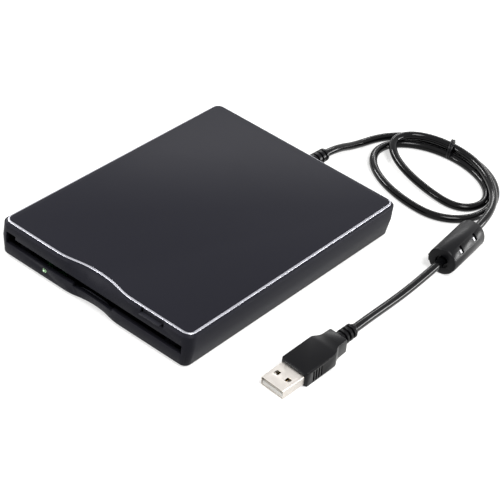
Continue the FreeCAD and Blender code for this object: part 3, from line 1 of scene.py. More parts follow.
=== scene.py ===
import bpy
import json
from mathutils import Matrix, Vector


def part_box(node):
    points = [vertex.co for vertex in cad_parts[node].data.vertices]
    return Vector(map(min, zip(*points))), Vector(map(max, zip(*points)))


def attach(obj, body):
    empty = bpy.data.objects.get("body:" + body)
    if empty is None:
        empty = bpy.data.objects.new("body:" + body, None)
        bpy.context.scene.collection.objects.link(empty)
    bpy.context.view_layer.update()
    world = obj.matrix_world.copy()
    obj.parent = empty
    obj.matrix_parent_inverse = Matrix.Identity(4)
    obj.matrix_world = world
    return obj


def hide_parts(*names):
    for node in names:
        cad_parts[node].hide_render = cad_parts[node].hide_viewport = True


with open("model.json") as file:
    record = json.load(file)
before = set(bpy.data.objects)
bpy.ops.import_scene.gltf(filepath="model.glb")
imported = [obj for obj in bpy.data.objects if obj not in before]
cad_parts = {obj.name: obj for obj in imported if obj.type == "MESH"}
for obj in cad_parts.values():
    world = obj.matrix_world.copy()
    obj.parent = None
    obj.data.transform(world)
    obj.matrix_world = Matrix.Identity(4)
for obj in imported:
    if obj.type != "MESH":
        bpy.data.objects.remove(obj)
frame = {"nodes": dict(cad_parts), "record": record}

"""A slim portable 3.5 inch floppy disk drive with its captive lead, dressed for the camera.

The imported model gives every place. The classes below build one sub-assembly each, from the hood to
the plug, and every finish is procedural. Lengths are in millimetres until a mesh is handed over.
"""

import json
import logging
import math
from abc import ABC, abstractmethod
from collections.abc import Iterable, Iterator, Sequence
from contextlib import contextmanager
from dataclasses import dataclass
from enum import Enum, IntEnum
from typing import Any

import bpy
from mathutils import Euler, Matrix, Vector

MM = 0.001
logger = logging.getLogger("floppy_drive")

Pair = tuple[float, float]
Point = tuple[float, float, float]


class Body(Enum):
    """The rigid bodies that pieces ride on."""

    CASE = "case"
    SLIDER = "slider"
    FLAP = "flap"
    FERRITE_LID = "ferrite_lid"


class Slot(Enum):
    """The record's material slots."""

    CHARCOAL = "charcoal_plastic"
    TRIM = "silver_trim"
    BUTTON = "button_plastic"
    LENS = "lens_green"
    FLAP = "flap_plastic"
    RUBBER = "foot_rubber"
    SCREW = "screw_steel"
    FRAME = "frame_steel"
    SPRING = "spring_steel"
    SHAFT = "shaft_steel"
    BRASS = "bearing_brass"
    COPPER = "coil_copper"
    CARRIAGE = "carriage_plastic"
    BOARD = "board_green"
    COMPONENT = "component_black"
    MAGNET = "magnet_dark"
    CERAMIC = "head_ceramic"
    RIBBON = "ribbon_film"
    CORD = "cord_black"
    FERRITE_SHELL = "ferrite_plastic"
    FERRITE_CORE = "ferrite_core"
    NICKEL = "plug_nickel"
    TONGUE = "plug_tongue"
    GOLD = "contact_gold"


# ---------------------------------------------------------------- finishes


class Pattern(Enum):
    """The kinds of procedural pattern, with the node that draws each and the output that is read."""

    CLOUD = ("ShaderNodeTexNoise", 0)
    CELLS = ("ShaderNodeTexVoronoi", 1)
    PITS = ("ShaderNodeTexVoronoi", 0)
    LINES = ("ShaderNodeTexWave", 1)


class MixSocket(IntEnum):
    """Sockets of the Mix node when it mixes colours."""

    FACTOR = 0
    RESULT = 2
    FIRST = 6
    SECOND = 7


def linear(hex_colour: str) -> tuple[float, float, float, float]:
    """Turns an sRGB hex colour to linear values.

    Args:
        hex_colour: Six hex digits after a hash.

    Returns:
        Red, green, blue and an alpha of 1.
    """
    parts = [int(hex_colour[i : i + 2], 16) / 255 for i in (1, 3, 5)]
    red, green, blue = [p / 12.92 if p <= 0.04045 else ((p + 0.055) / 1.055) ** 2.4 for p in parts]
    return (red, green, blue, 1.0)


def add_node(
    tree: bpy.types.NodeTree,
    kind: str,
    settings: dict[str | int, Any] | None = None,
    links: dict[str | int, bpy.types.NodeSocket] | None = None,
) -> bpy.types.Node:
    """Adds a node with its settings and links.

    Args:
        tree: The node tree.
        kind: The node's type name.
        settings: Values by property name, or by input name or number.
        links: The sockets to read, by input name or number.

    Returns:
        The node.
    """
    node = tree.nodes.new(kind)
    for name, value in (settings or {}).items():
        if isinstance(name, str) and hasattr(node, name):
            setattr(node, name, value)
        else:
            node.inputs[name].default_value = value
    for name, source in (links or {}).items():
        tree.links.new(source, node.inputs[name])
    return node


@dataclass(frozen=True)
class Layer:
    """One procedural pattern on a finish.

    Attributes:
        pattern: What draws it.
        size: The real size of its grain or line spacing, in millimetres.
        tint: The sRGB colour that it brings in.
        shade: How much of the tint shows at most, from 0 to 1.
        gloss: How far it swings the roughness.
        depth: The height of its relief, in millimetres.
        stretch: How it is scaled along X, Y and Z.
        detail: How many finer octaves it has.
    """

    pattern: Pattern
    size: float
    tint: str = "#000000"
    shade: float = 0.0
    gloss: float = 0.0
    depth: float = 0.0
    stretch: Point = (1.0, 1.0, 1.0)
    detail: float = 2.0


@dataclass(frozen=True)
class Finish:
    """What a surface is made of and how it was made.

    Attributes:
        name: The material's plain name.
        colour: Its sRGB colour.
        roughness: Its mean roughness.
        metallic: 1 for bare metal.
        ior: Its index of refraction, which a metal leaves alone.
        specular: The share of the usual reflection at normal incidence, 0.5 being plain.
        coat: The weight of a clear top layer.
        glow: The strength of light that the surface gives off in its own colour.
        layers: The patterns on it.
    """

    name: str
    colour: str
    roughness: float
    metallic: float = 0.0
    ior: float = 1.5
    specular: float = 0.5
    coat: float = 0.0
    glow: float = 0.0
    layers: tuple[Layer, ...] = ()

    def build(self) -> bpy.types.Material:
        """Makes the material.

        Returns:
            The Blender material.
        """
        material = bpy.data.materials.new(self.name)
        material.use_nodes = True
        material.diffuse_color = linear(self.colour)
        tree = material.node_tree
        tree.nodes.clear()
        settings: dict[str | int, Any] = {
            "Base Color": linear(self.colour),
            "Roughness": self.roughness,
            "Metallic": self.metallic,
            "Specular IOR Level": self.specular,
            "Coat Weight": self.coat,
            "Coat Roughness": 0.08,
        }
        if not self.metallic:
            settings["IOR"] = self.ior
        if self.glow:
            settings["Emission Color"] = linear(self.colour)
            settings["Emission Strength"] = self.glow
        shader = add_node(tree, "ShaderNodeBsdfPrincipled", settings)
        add_node(tree, "ShaderNodeOutputMaterial", None, {"Surface": shader.outputs[0]})
        self.dress(tree, shader)
        return material

    def dress(self, tree: bpy.types.NodeTree, shader: bpy.types.Node) -> None:
        """Adds the patterns to the shader's colour, roughness and normal.

        Args:
            tree: The material's node tree.
            shader: Its Principled node.
        """
        place = add_node(tree, "ShaderNodeTexCoord").outputs["Object"]
        colour = gloss = normal = None
        for layer in self.layers:
            value = self.draw(tree, layer, place)
            if layer.shade:
                share = {"operation": "MULTIPLY", "use_clamp": True, 1: layer.shade}
                amount = add_node(tree, "ShaderNodeMath", share, {0: value})
                first, second = linear(self.colour), linear(layer.tint)
                colours = {"data_type": "RGBA", MixSocket.FIRST: first, MixSocket.SECOND: second}
                mix = add_node(tree, "ShaderNodeMix", colours, {MixSocket.FACTOR: amount.outputs[0]})
                if colour is not None:
                    tree.links.new(colour, mix.inputs[MixSocket.FIRST])
                colour = mix.outputs[MixSocket.RESULT]
            if layer.gloss:
                base = self.roughness if gloss is None else 0.0
                spread = {"operation": "MULTIPLY_ADD", 1: layer.gloss, 2: base - layer.gloss / 2}
                swing = add_node(tree, "ShaderNodeMath", spread, {0: value})
                if gloss is not None:
                    links = {0: swing.outputs[0], 1: gloss}
                    swing = add_node(tree, "ShaderNodeMath", {"operation": "ADD"}, links)
                gloss = swing.outputs[0]
            if layer.depth:
                relief = {"Strength": 1.0, "Distance": layer.depth * MM}
                bump = add_node(tree, "ShaderNodeBump", relief, {"Height": value})
                if normal is not None:
                    tree.links.new(normal, bump.inputs["Normal"])
                normal = bump.outputs[0]
        for socket, source in (("Base Color", colour), ("Roughness", gloss), ("Normal", normal)):
            if source is not None:
                tree.links.new(source, shader.inputs[socket])

    def draw(
        self, tree: bpy.types.NodeTree, layer: Layer, place: bpy.types.NodeSocket
    ) -> bpy.types.NodeSocket:
        """Adds one pattern's nodes.

        Args:
            tree: The material's node tree.
            layer: The pattern.
            place: The Object coordinates.

        Returns:
            The pattern's value, from 0 to 1.
        """
        kind, output = layer.pattern.value
        spread = add_node(tree, "ShaderNodeMapping", {"Scale": layer.stretch}, {"Vector": place})
        settings: dict[str | int, Any] = {"Scale": 1 / (layer.size * MM)}
        if layer.pattern is Pattern.CLOUD:
            settings["Detail"] = layer.detail
        if layer.pattern is Pattern.LINES:
            # A wave runs through a full turn each 20 scaled units over 2 pi
            settings["Scale"] = math.pi / 10 / (layer.size * MM)
            settings["Detail"] = layer.detail
            settings["Distortion"] = 0.6
        return add_node(tree, kind, settings, {"Vector": spread.outputs[0]}).outputs[output]


# Moulded ABS, spark-eroded mould: a soft sheen over a fine even grain
MOULDED_ABS = Finish(
    "charcoal moulded ABS", "#1D1D23", 0.42, specular=0.05,
    layers=(
        Layer(Pattern.CLOUD, 0.35, "#222229", 0.5, 0.06, 0.004, detail=3),
        Layer(Pattern.CLOUD, 38.0, "#1A1A20", 0.6, 0.05),
    ),
)
# The same plastic polished a little more by fingers
BUTTON_ABS = Finish(
    "dark satin ABS", "#26262C", 0.36, specular=0.1,
    layers=(Layer(Pattern.CLOUD, 0.4, "#1C1C1F", 0.5, 0.08, 0.004),),
)
# Silver strip along the hood's top edge, standing in for the highlight on a black glossy chamfer: a painted
# highlight, with a faint cloudiness
SILVER_HIGHLIGHT_STRIP = Finish(
    "silver strip as painted highlight", "#ACACB4", 0.34, metallic=1.0,
    layers=(
        Layer(Pattern.CLOUD, 6.0, "#CFCFD4", 0.6, 0.08),
        Layer(Pattern.CLOUD, 0.25, "#94949C", 0.3, 0.05),
    ),
)
LENS_ACRYLIC = Finish(
    "pale green acrylic", "#B9F5B0", 0.12, ior=1.49, coat=0.6, glow=0.75,
    layers=(Layer(Pattern.CLOUD, 0.5, "#E4FFDE", 0.7, 0.05),),
)
LENS_RIM = Finish(
    "dark green acrylic", "#0E2A12", 0.2, ior=1.49, coat=0.4,
    layers=(Layer(Pattern.CLOUD, 0.6, "#1D4A20", 0.6, 0.06),),
)
LAMP_EPOXY = Finish(
    "green lamp epoxy", "#0A2410", 0.25, specular=0.3,
    layers=(Layer(Pattern.CLOUD, 0.6, "#123818", 0.6, 0.06),),
)
FLAP_POM = Finish(
    "black acetal", "#050506", 0.5, specular=0.3,
    layers=(Layer(Pattern.CLOUD, 0.5, "#0D0D0F", 0.6, 0.1, 0.004),),
)
FOOT_RUBBER = Finish(
    "black silicone rubber", "#141414", 0.78, specular=0.35,
    layers=(Layer(Pattern.CLOUD, 0.3, "#232323", 0.6, 0.1, 0.01, detail=3),),
)
# Steel with a bright zinc flash
ZINC_STEEL = Finish(
    "zinc plated steel", "#A9ACB0", 0.32, metallic=1.0,
    layers=(
        Layer(Pattern.CLOUD, 0.5, "#C9CCD2", 0.6, 0.15, 0.002),
        Layer(Pattern.LINES, 0.12, "#8F9296", 0.3, 0.1),
    ),
)
# Hot-dip coated sheet: large faint crystals, rolled smooth
GALVANISED_SHEET = Finish(
    "galvanised sheet steel", "#B4B6B4", 0.36, metallic=1.0,
    layers=(
        Layer(Pattern.CELLS, 5.0, "#8E9294", 0.55, 0.16),
        Layer(Pattern.CLOUD, 0.4, "#D2D4D2", 0.35, 0.08, 0.002, stretch=(1, 6, 1)),
    ),
)
SPRING_WIRE = Finish(
    "drawn spring steel", "#8E9094", 0.3, metallic=1.0,
    layers=(Layer(Pattern.CLOUD, 0.15, "#5C5E62", 0.5, 0.12, 0.001, stretch=(4, 1, 4)),),
)
GROUND_STEEL = Finish(
    "ground shaft steel", "#C6C8CC", 0.16, metallic=1.0,
    layers=(Layer(Pattern.LINES, 0.1, "#94969A", 0.4, 0.08, 0.0008),),
)
SINTERED_BRONZE = Finish(
    "sintered bronze", "#A9803F", 0.42, metallic=1.0,
    layers=(Layer(Pattern.PITS, 0.18, "#6B4A1E", 0.6, 0.2, 0.01),),
)
# Enamelled wire wound in flat coils: close lines of copper
ENAMELLED_COPPER = Finish(
    "enamelled copper winding", "#A4501C", 0.25, metallic=0.9, coat=0.5,
    layers=(Layer(Pattern.LINES, 0.3, "#4E1E08", 0.8, 0.1, 0.05),),
)
FILLED_NYLON = Finish(
    "glass filled nylon", "#101011", 0.5,
    layers=(
        Layer(Pattern.CLOUD, 0.25, "#2C2C2E", 0.5, 0.14, 0.006, stretch=(1, 3, 1), detail=3),
        Layer(Pattern.CLOUD, 9.0, "#1A1A1B", 0.5),
    ),
)
# Glass epoxy under solder mask, with the copper showing through as paler lines
SOLDER_MASK = Finish(
    "green solder mask", "#0B3D22", 0.24, coat=0.3,
    layers=(
        Layer(Pattern.LINES, 1.3, "#1E6B3C", 0.9, 0.05, 0.02, stretch=(1, 0.4, 1)),
        Layer(Pattern.PITS, 2.6, "#062A16", 0.6, 0.0, 0.01),
    ),
)
MOULDED_EPOXY = Finish(
    "moulded epoxy", "#0C0C0D", 0.55,
    layers=(Layer(Pattern.CLOUD, 0.15, "#242426", 0.6, 0.12, 0.004),),
)
BONDED_MAGNET = Finish(
    "bonded ferrite magnet", "#1B1B1D", 0.6,
    layers=(Layer(Pattern.PITS, 0.3, "#3A3A3C", 0.6, 0.15, 0.01),),
)
LAPPED_CERAMIC = Finish(
    "lapped ceramic", "#37332F", 0.1, coat=0.4,
    layers=(Layer(Pattern.CLOUD, 0.4, "#55504A", 0.5, 0.05),),
)
FLAT_CABLE = Finish(
    "flat ribbon cable", "#C9C8C0", 0.3,
    layers=(Layer(Pattern.LINES, 0.5, "#8C7A58", 0.7, 0.05, 0.03),),
)
# Extruded PVC jacket: near black and glossy, very slightly wavy from the die
GLOSSY_PVC = Finish(
    "glossy black PVC", "#040405", 0.14, specular=0.16,
    layers=(
        Layer(Pattern.CLOUD, 3.0, "#0B0B0C", 0.6, 0.06, 0.004),
        Layer(Pattern.CLOUD, 0.5, "#101012", 0.3, 0.05, 0.001),
    ),
)
# The same PVC moulded over the plug: a satin skin
MOULDED_PVC = Finish(
    "satin moulded PVC", "#060608", 0.3, specular=0.15,
    layers=(
        Layer(Pattern.CLOUD, 0.35, "#0B0B0E", 0.5, 0.08, 0.003, detail=3),
        Layer(Pattern.CLOUD, 8.0, "#09090C", 0.6, 0.06),
    ),
)
FERRITE_SHELL = Finish(
    "satin black polypropylene", "#060608", 0.33, specular=0.15,
    layers=(
        Layer(Pattern.CLOUD, 0.4, "#0B0B0E", 0.5, 0.08, 0.003, detail=3),
        Layer(Pattern.CLOUD, 6.0, "#09090C", 0.6, 0.06),
    ),
)
# Latch tabs in the ferrite's windows: the tabs are real, their white is a painted glint
LATCH_WHITE_GLINT = Finish(
    "latch tab with painted glint", "#E6E6EA", 0.35,
    layers=(Layer(Pattern.CLOUD, 0.4, "#F4F4F6", 0.5, 0.08),),
)
SINTERED_FERRITE = Finish(
    "sintered ferrite", "#1E1E20", 0.5,
    layers=(Layer(Pattern.PITS, 0.25, "#343436", 0.6, 0.15, 0.01),),
)
# Deep-drawn steel with a bright nickel plate
NICKEL_PLATE = Finish(
    "nickel plated steel", "#C6C0BB", 0.4, metallic=1.0,
    layers=(
        Layer(Pattern.CLOUD, 3.0, "#E9E5DE", 0.6, 0.12),
        Layer(Pattern.CLOUD, 0.3, "#B9B4AD", 0.3, 0.06, 0.001, stretch=(1, 5, 1)),
    ),
)
WHITE_LCP = Finish(
    "white liquid crystal polymer", "#E9E7E2", 0.45,
    layers=(Layer(Pattern.CLOUD, 0.2, "#D6D3CC", 0.5, 0.1, 0.004, stretch=(1, 4, 1)),),
)
GOLD_PLATE = Finish(
    "gold plated contact", "#E0B04A", 0.22, metallic=1.0,
    layers=(Layer(Pattern.CLOUD, 0.4, "#F2CC78", 0.5, 0.1),),
)

SLOT_FINISHES: dict[Slot, Finish] = {
    Slot.CHARCOAL: MOULDED_ABS,
    Slot.TRIM: SILVER_HIGHLIGHT_STRIP,
    Slot.BUTTON: BUTTON_ABS,
    Slot.LENS: LENS_ACRYLIC,
    Slot.FLAP: FLAP_POM,
    Slot.RUBBER: FOOT_RUBBER,
    Slot.SCREW: ZINC_STEEL,
    Slot.FRAME: GALVANISED_SHEET,
    Slot.SPRING: SPRING_WIRE,
    Slot.SHAFT: GROUND_STEEL,
    Slot.BRASS: SINTERED_BRONZE,
    Slot.COPPER: ENAMELLED_COPPER,
    Slot.CARRIAGE: FILLED_NYLON,
    Slot.BOARD: SOLDER_MASK,
    Slot.COMPONENT: MOULDED_EPOXY,
    Slot.MAGNET: BONDED_MAGNET,
    Slot.CERAMIC: LAPPED_CERAMIC,
    Slot.RIBBON: FLAT_CABLE,
    Slot.CORD: GLOSSY_PVC,
    Slot.FERRITE_SHELL: FERRITE_SHELL,
    Slot.FERRITE_CORE: SINTERED_FERRITE,
    Slot.NICKEL: NICKEL_PLATE,
    Slot.TONGUE: WHITE_LCP,
    Slot.GOLD: GOLD_PLATE,
}


# Nodes that look unlike the rest of their slot
NODE_FINISHES: dict[str, Finish] = {"led_diode": LAMP_EPOXY}


class FinishShelf:
    """Builds each finish once and hands it out."""

    def __init__(self) -> None:
        """Starts with an empty shelf."""
        self.made: dict[str, bpy.types.Material] = {}

    def take(self, finish: Finish) -> bpy.types.Material:
        """Gives the material of a finish.

        Args:
            finish: The finish.

        Returns:
            Its material, made on first use.
        """
        if finish.name not in self.made:
            self.made[finish.name] = finish.build()
        return self.made[finish.name]

    def dress_frame(self) -> None:
        """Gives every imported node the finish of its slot."""
        for part in frame["record"]["subparts"]:
            finish = NODE_FINISHES.get(part["node"], SLOT_FINISHES[Slot(part["material_slot"])])
            material = self.take(finish)
            mesh = frame["nodes"][part["node"]].data
            for index in range(len(mesh.materials)):
                mesh.materials[index] = material
            if not mesh.materials:
                mesh.materials.append(material)


# ---------------------------------------------------------------- modelling


def activate(piece: bpy.types.Object) -> None:
    """Selects one object and nothing else.

    Args:
        piece: The object.
    """
    bpy.ops.object.select_all(action="DESELECT")
    piece.select_set(True)
    bpy.context.view_layer.objects.active = piece


@contextmanager
def editing(piece: bpy.types.Object, elements: str = "VERT") -> Iterator[None]:
    """Opens an object in edit mode with everything selected.

    Args:
        piece: The object.
        elements: VERT, EDGE or FACE.

    Yields:
        Nothing; edit mode is left afterwards.
    """
    activate(piece)
    bpy.ops.object.mode_set(mode="EDIT")
    bpy.ops.mesh.select_mode(type=elements)
    bpy.ops.mesh.select_all(action="SELECT")
    yield
    bpy.ops.object.mode_set(mode="OBJECT")


def modify(piece: bpy.types.Object, kind: str, **settings: Any) -> None:
    """Adds a modifier and applies it.

    Args:
        piece: The object.
        kind: The modifier's type.
        **settings: Its properties.
    """
    activate(piece)
    modifier = piece.modifiers.new(kind.lower(), kind)
    for name, value in settings.items():
        setattr(modifier, name, value)
    bpy.ops.object.modifier_apply(modifier=modifier.name)


def ease_edges(piece: bpy.types.Object, width: float, segments: int = 2, angle: float = 35.0) -> None:
    """Rounds every edge that turns by more than an angle.

    Args:
        piece: The object, in metres.
        width: The bevel's width, in millimetres.
        segments: The bevel's segments.
        angle: The turn from which an edge counts, in degrees.
    """
    modify(
        piece,
        "BEVEL",
        width=width * MM,
        segments=segments,
        limit_method="ANGLE",
        angle_limit=math.radians(angle),
        harden_normals=False,
        miter_outer="MITER_ARC",
        use_clamp_overlap=True,
    )


def smooth(piece: bpy.types.Object, angle: float = 32.0) -> None:
    """Shades smooth across edges that turn by less than an angle."""
    activate(piece)
    bpy.ops.object.shade_smooth_by_angle(angle=math.radians(angle))


def copy_node(node: str) -> bpy.types.Object:
    """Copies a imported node's mesh to a new object, with its loose triangles joined up.

    Args:
        node: The node's name.

    Returns:
        The new object.
    """
    piece = bpy.data.objects.new(node + "_dressed", frame["nodes"][node].data.copy())
    bpy.context.scene.collection.objects.link(piece)
    with editing(piece):
        bpy.ops.mesh.customdata_custom_splitnormals_clear()
        bpy.ops.mesh.remove_doubles(threshold=2e-6)
        bpy.ops.mesh.dissolve_limited(angle_limit=math.radians(0.6))
        bpy.ops.mesh.normals_make_consistent(inside=False)
    return piece


# Stands a form that was turned round X upright
UPRIGHT = Matrix.Rotation(-math.pi / 2, 4, "Y")


def place_mesh(piece: bpy.types.Object, matrix: Matrix) -> None:
    """Moves a mesh made in millimetres into its place, in metres, and leaves its object at the origin.

    Args:
        piece: The object.
        matrix: Its place and turn, in millimetres.
    """
    piece.matrix_world = Matrix.Scale(MM, 4) @ matrix @ piece.matrix_world
    activate(piece)
    bpy.ops.object.transform_apply(location=True, rotation=True, scale=True)


def ring(piece: bpy.types.Object, level: float, beside: float | None = None) -> list[int]:
    """Finds the corners at one height, and among them those that an edge ties to another height.

    Args:
        piece: The piece, in metres at the origin.
        level: The height, in millimetres.
        beside: The other height, or None for every corner.

    Returns:
        The corners' numbers.
    """
    corners = piece.data.vertices
    found = {corner.index for corner in corners if abs(corner.co.z / MM - level) < 0.02}
    if beside is None:
        return sorted(found)
    tied = set()
    for edge in piece.data.edges:
        for here, there in (edge.vertices, reversed(edge.vertices)):
            if here in found and abs(corners[there].co.z / MM - beside) < 0.02:
                tied.add(here)
    return sorted(tied)


def choose(piece: bpy.types.Object, corners: Iterable[int]) -> None:
    """Selects some corners of the piece that is open in edit mode.

    Args:
        piece: The piece.
        corners: The corners' numbers.
    """
    bpy.ops.mesh.select_all(action="DESELECT")
    bpy.ops.object.mode_set(mode="OBJECT")
    for index in corners:
        piece.data.vertices[index].select = True
    bpy.ops.object.mode_set(mode="EDIT")


def close_ends(piece: bpy.types.Object) -> None:
    """Fills each open end and turns the faces outwards.

    Args:
        piece: The object.
    """
    with editing(piece, "EDGE"):
        bpy.ops.mesh.remove_doubles(threshold=1e-4)
        bpy.ops.mesh.select_all(action="DESELECT")
        bpy.ops.mesh.select_non_manifold()
        bpy.ops.mesh.edge_face_add()
        bpy.ops.mesh.select_all(action="SELECT")
        bpy.ops.mesh.normals_make_consistent(inside=False)


def loft(name: str, corner: float, stations: Sequence[Point], segments: int = 4) -> bpy.types.Object:
    """Extrudes a rounded rectangle along X through stations of its half width and half height.

    Args:
        name: The object's name.
        corner: The corner radius at the first station, in millimetres.
        stations: The place along X, the half width and the half height of each.
        segments: The corner's segments.

    Returns:
        The closed form, in millimetres.
    """
    x, wide, high = stations[0]
    bpy.ops.mesh.primitive_plane_add(size=2, location=(x, 0, 0), rotation=(0, math.pi / 2, 0))
    piece = bpy.context.object
    piece.name = name
    piece.scale = (high, wide, 1)
    bpy.ops.object.transform_apply(location=True, rotation=True, scale=True)
    with editing(piece):
        bpy.ops.mesh.bevel(offset=corner, segments=segments, affect="VERTICES")
        for after, wide_next, high_next in stations[1:]:
            bpy.ops.mesh.extrude_region_move(TRANSFORM_OT_translate={"value": (after - x, 0, 0)})
            bpy.ops.transform.resize(
                value=(1, wide_next / wide, high_next / high), center_override=(after, 0, 0)
            )
            x, wide, high = after, wide_next, high_next
    close_ends(piece)
    return piece


def turn(name: str, profile: Sequence[Pair], sides: int = 40) -> bpy.types.Object:
    """Spins a profile round X.

    Args:
        name: The object's name.
        profile: The place along X and the radius of each corner. A closed form starts and ends at radius 0.
        sides: The number of sides.

    Returns:
        The form, in millimetres.
    """
    bpy.ops.mesh.primitive_plane_add(size=2)
    piece = bpy.context.object
    piece.name = name
    with editing(piece):
        bpy.ops.mesh.merge(type="CENTER")
        x, radius = profile[0]
        bpy.ops.transform.translate(value=(x, 0, radius))
        for after, radius_next in profile[1:]:
            bpy.ops.mesh.extrude_region_move(
                TRANSFORM_OT_translate={"value": (after - x, 0, radius_next - radius)}
            )
            x, radius = after, radius_next
        bpy.ops.mesh.select_all(action="SELECT")
        bpy.ops.mesh.spin(steps=sides, angle=2 * math.pi, center=(0, 0, 0), axis=(1, 0, 0))
        bpy.ops.mesh.select_all(action="SELECT")
        bpy.ops.mesh.remove_doubles(threshold=1e-4)
        bpy.ops.mesh.normals_make_consistent(inside=False)
    return piece


def block(name: str, low: Point, high: Point) -> bpy.types.Object:
    """Adds a box between two corners, to be shaped further or to cut with.

    Args:
        name: The object's name.
        low: The lowest corner, in millimetres.
        high: The highest corner.

    Returns:
        The box, in millimetres.
    """
    centre = [(a + b) / 2 for a, b in zip(low, high)]
    bpy.ops.mesh.primitive_cube_add(size=1, location=centre)
    piece = bpy.context.object
    piece.name = name
    piece.scale = [b - a for a, b in zip(low, high)]
    bpy.ops.object.transform_apply(location=True, rotation=True, scale=True)
    return piece


def carve(piece: bpy.types.Object, *cutters: bpy.types.Object) -> None:
    """Cuts other forms out of a piece and removes them.

    Args:
        piece: The piece.
        *cutters: The forms to take away.
    """
    for cutter in cutters:
        modify(piece, "BOOLEAN", operation="DIFFERENCE", solver="EXACT", object=cutter)
        bpy.data.objects.remove(cutter)


def join(pieces: Sequence[bpy.types.Object]) -> bpy.types.Object:
    """Joins objects into the first of them.

    Args:
        pieces: The objects.

    Returns:
        The first object.
    """
    activate(pieces[0])
    for piece in pieces[1:]:
        piece.select_set(True)
    bpy.ops.object.join()
    return pieces[0]


def lay_curve(
    name: str, route: Sequence[Sequence[float]], radius: float, fine: int, ring_fine: int
) -> bpy.types.Object:
    """Lays a round strand along one smooth curve.

    Args:
        name: The object's name.
        route: The curve's control points, in millimetres.
        radius: The strand's radius, in millimetres.
        fine: The steps along each stretch.
        ring_fine: The resolution round the strand.

    Returns:
        The curve, in metres.
    """
    curve = bpy.data.curves.new(name, "CURVE")
    curve.dimensions = "3D"
    spline = curve.splines.new("NURBS")
    spline.points.add(len(route) - 1)
    for point, place in zip(spline.points, route):
        point.co = (*(value * MM for value in place), 1.0)
    spline.order_u = 3
    spline.use_endpoint_u = True
    spline.resolution_u = fine
    spline.use_smooth = True
    curve.bevel_depth = radius * MM
    curve.bevel_resolution = ring_fine
    curve.use_fill_caps = True
    piece = bpy.data.objects.new(name, curve)
    bpy.context.scene.collection.objects.link(piece)
    return piece


def copies(piece: bpy.types.Object, places: Iterable[Matrix]) -> bpy.types.Object:
    """Copies a form made in millimetres to several places and joins the copies.

    Args:
        piece: The form, which is used up.
        places: Where each copy goes.

    Returns:
        One object in metres.
    """
    made = []
    for matrix in places:
        twin = bpy.data.objects.new(piece.name, piece.data.copy())
        bpy.context.scene.collection.objects.link(twin)
        place_mesh(twin, matrix)
        made.append(twin)
    bpy.data.objects.remove(piece)
    return join(made)


@dataclass
class SubAssembly(ABC):
    """A group of pieces that are made together.

    Attributes:
        shelf: Where materials come from.
    """

    shelf: FinishShelf

    @abstractmethod
    def build(self) -> list[bpy.types.Object]:
        """Builds the pieces and returns them."""

    def give(
        self, piece: bpy.types.Object, finish: Finish, name: str, body: Body, slot: Slot, *nodes: str
    ) -> bpy.types.Object:
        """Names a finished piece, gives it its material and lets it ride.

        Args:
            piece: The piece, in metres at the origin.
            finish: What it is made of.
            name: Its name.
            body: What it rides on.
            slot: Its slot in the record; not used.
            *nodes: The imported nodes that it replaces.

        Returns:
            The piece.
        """
        piece.name = piece.data.name = name
        piece.data.materials.clear()
        piece.data.materials.append(self.shelf.take(finish))
        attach(piece, body.value)
        if nodes:
            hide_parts(*nodes)
        logger.info("%s rides on %s", name, body.value)
        return piece

    def eased_copy(
        self, finish: Finish, name: str, body: Body, slot: Slot, node: str, width: float, angle: float = 32.0
    ) -> bpy.types.Object:
        """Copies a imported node, rounds its edges and hands it over.

        Args:
            finish: What it is made of.
            name: Its name.
            body: What it rides on.
            slot: Its slot in the record.
            node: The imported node, which it replaces.
            width: The bevel's width, in millimetres.
            angle: The turn up to which it is shaded smooth, in degrees.

        Returns:
            The piece.
        """
        piece = copy_node(node)
        ease_edges(piece, width, 2, 40)
        smooth(piece, angle)
        return self.give(piece, finish, name, body, slot, node)


# ---------------------------------------------------------------- sub-assemblies


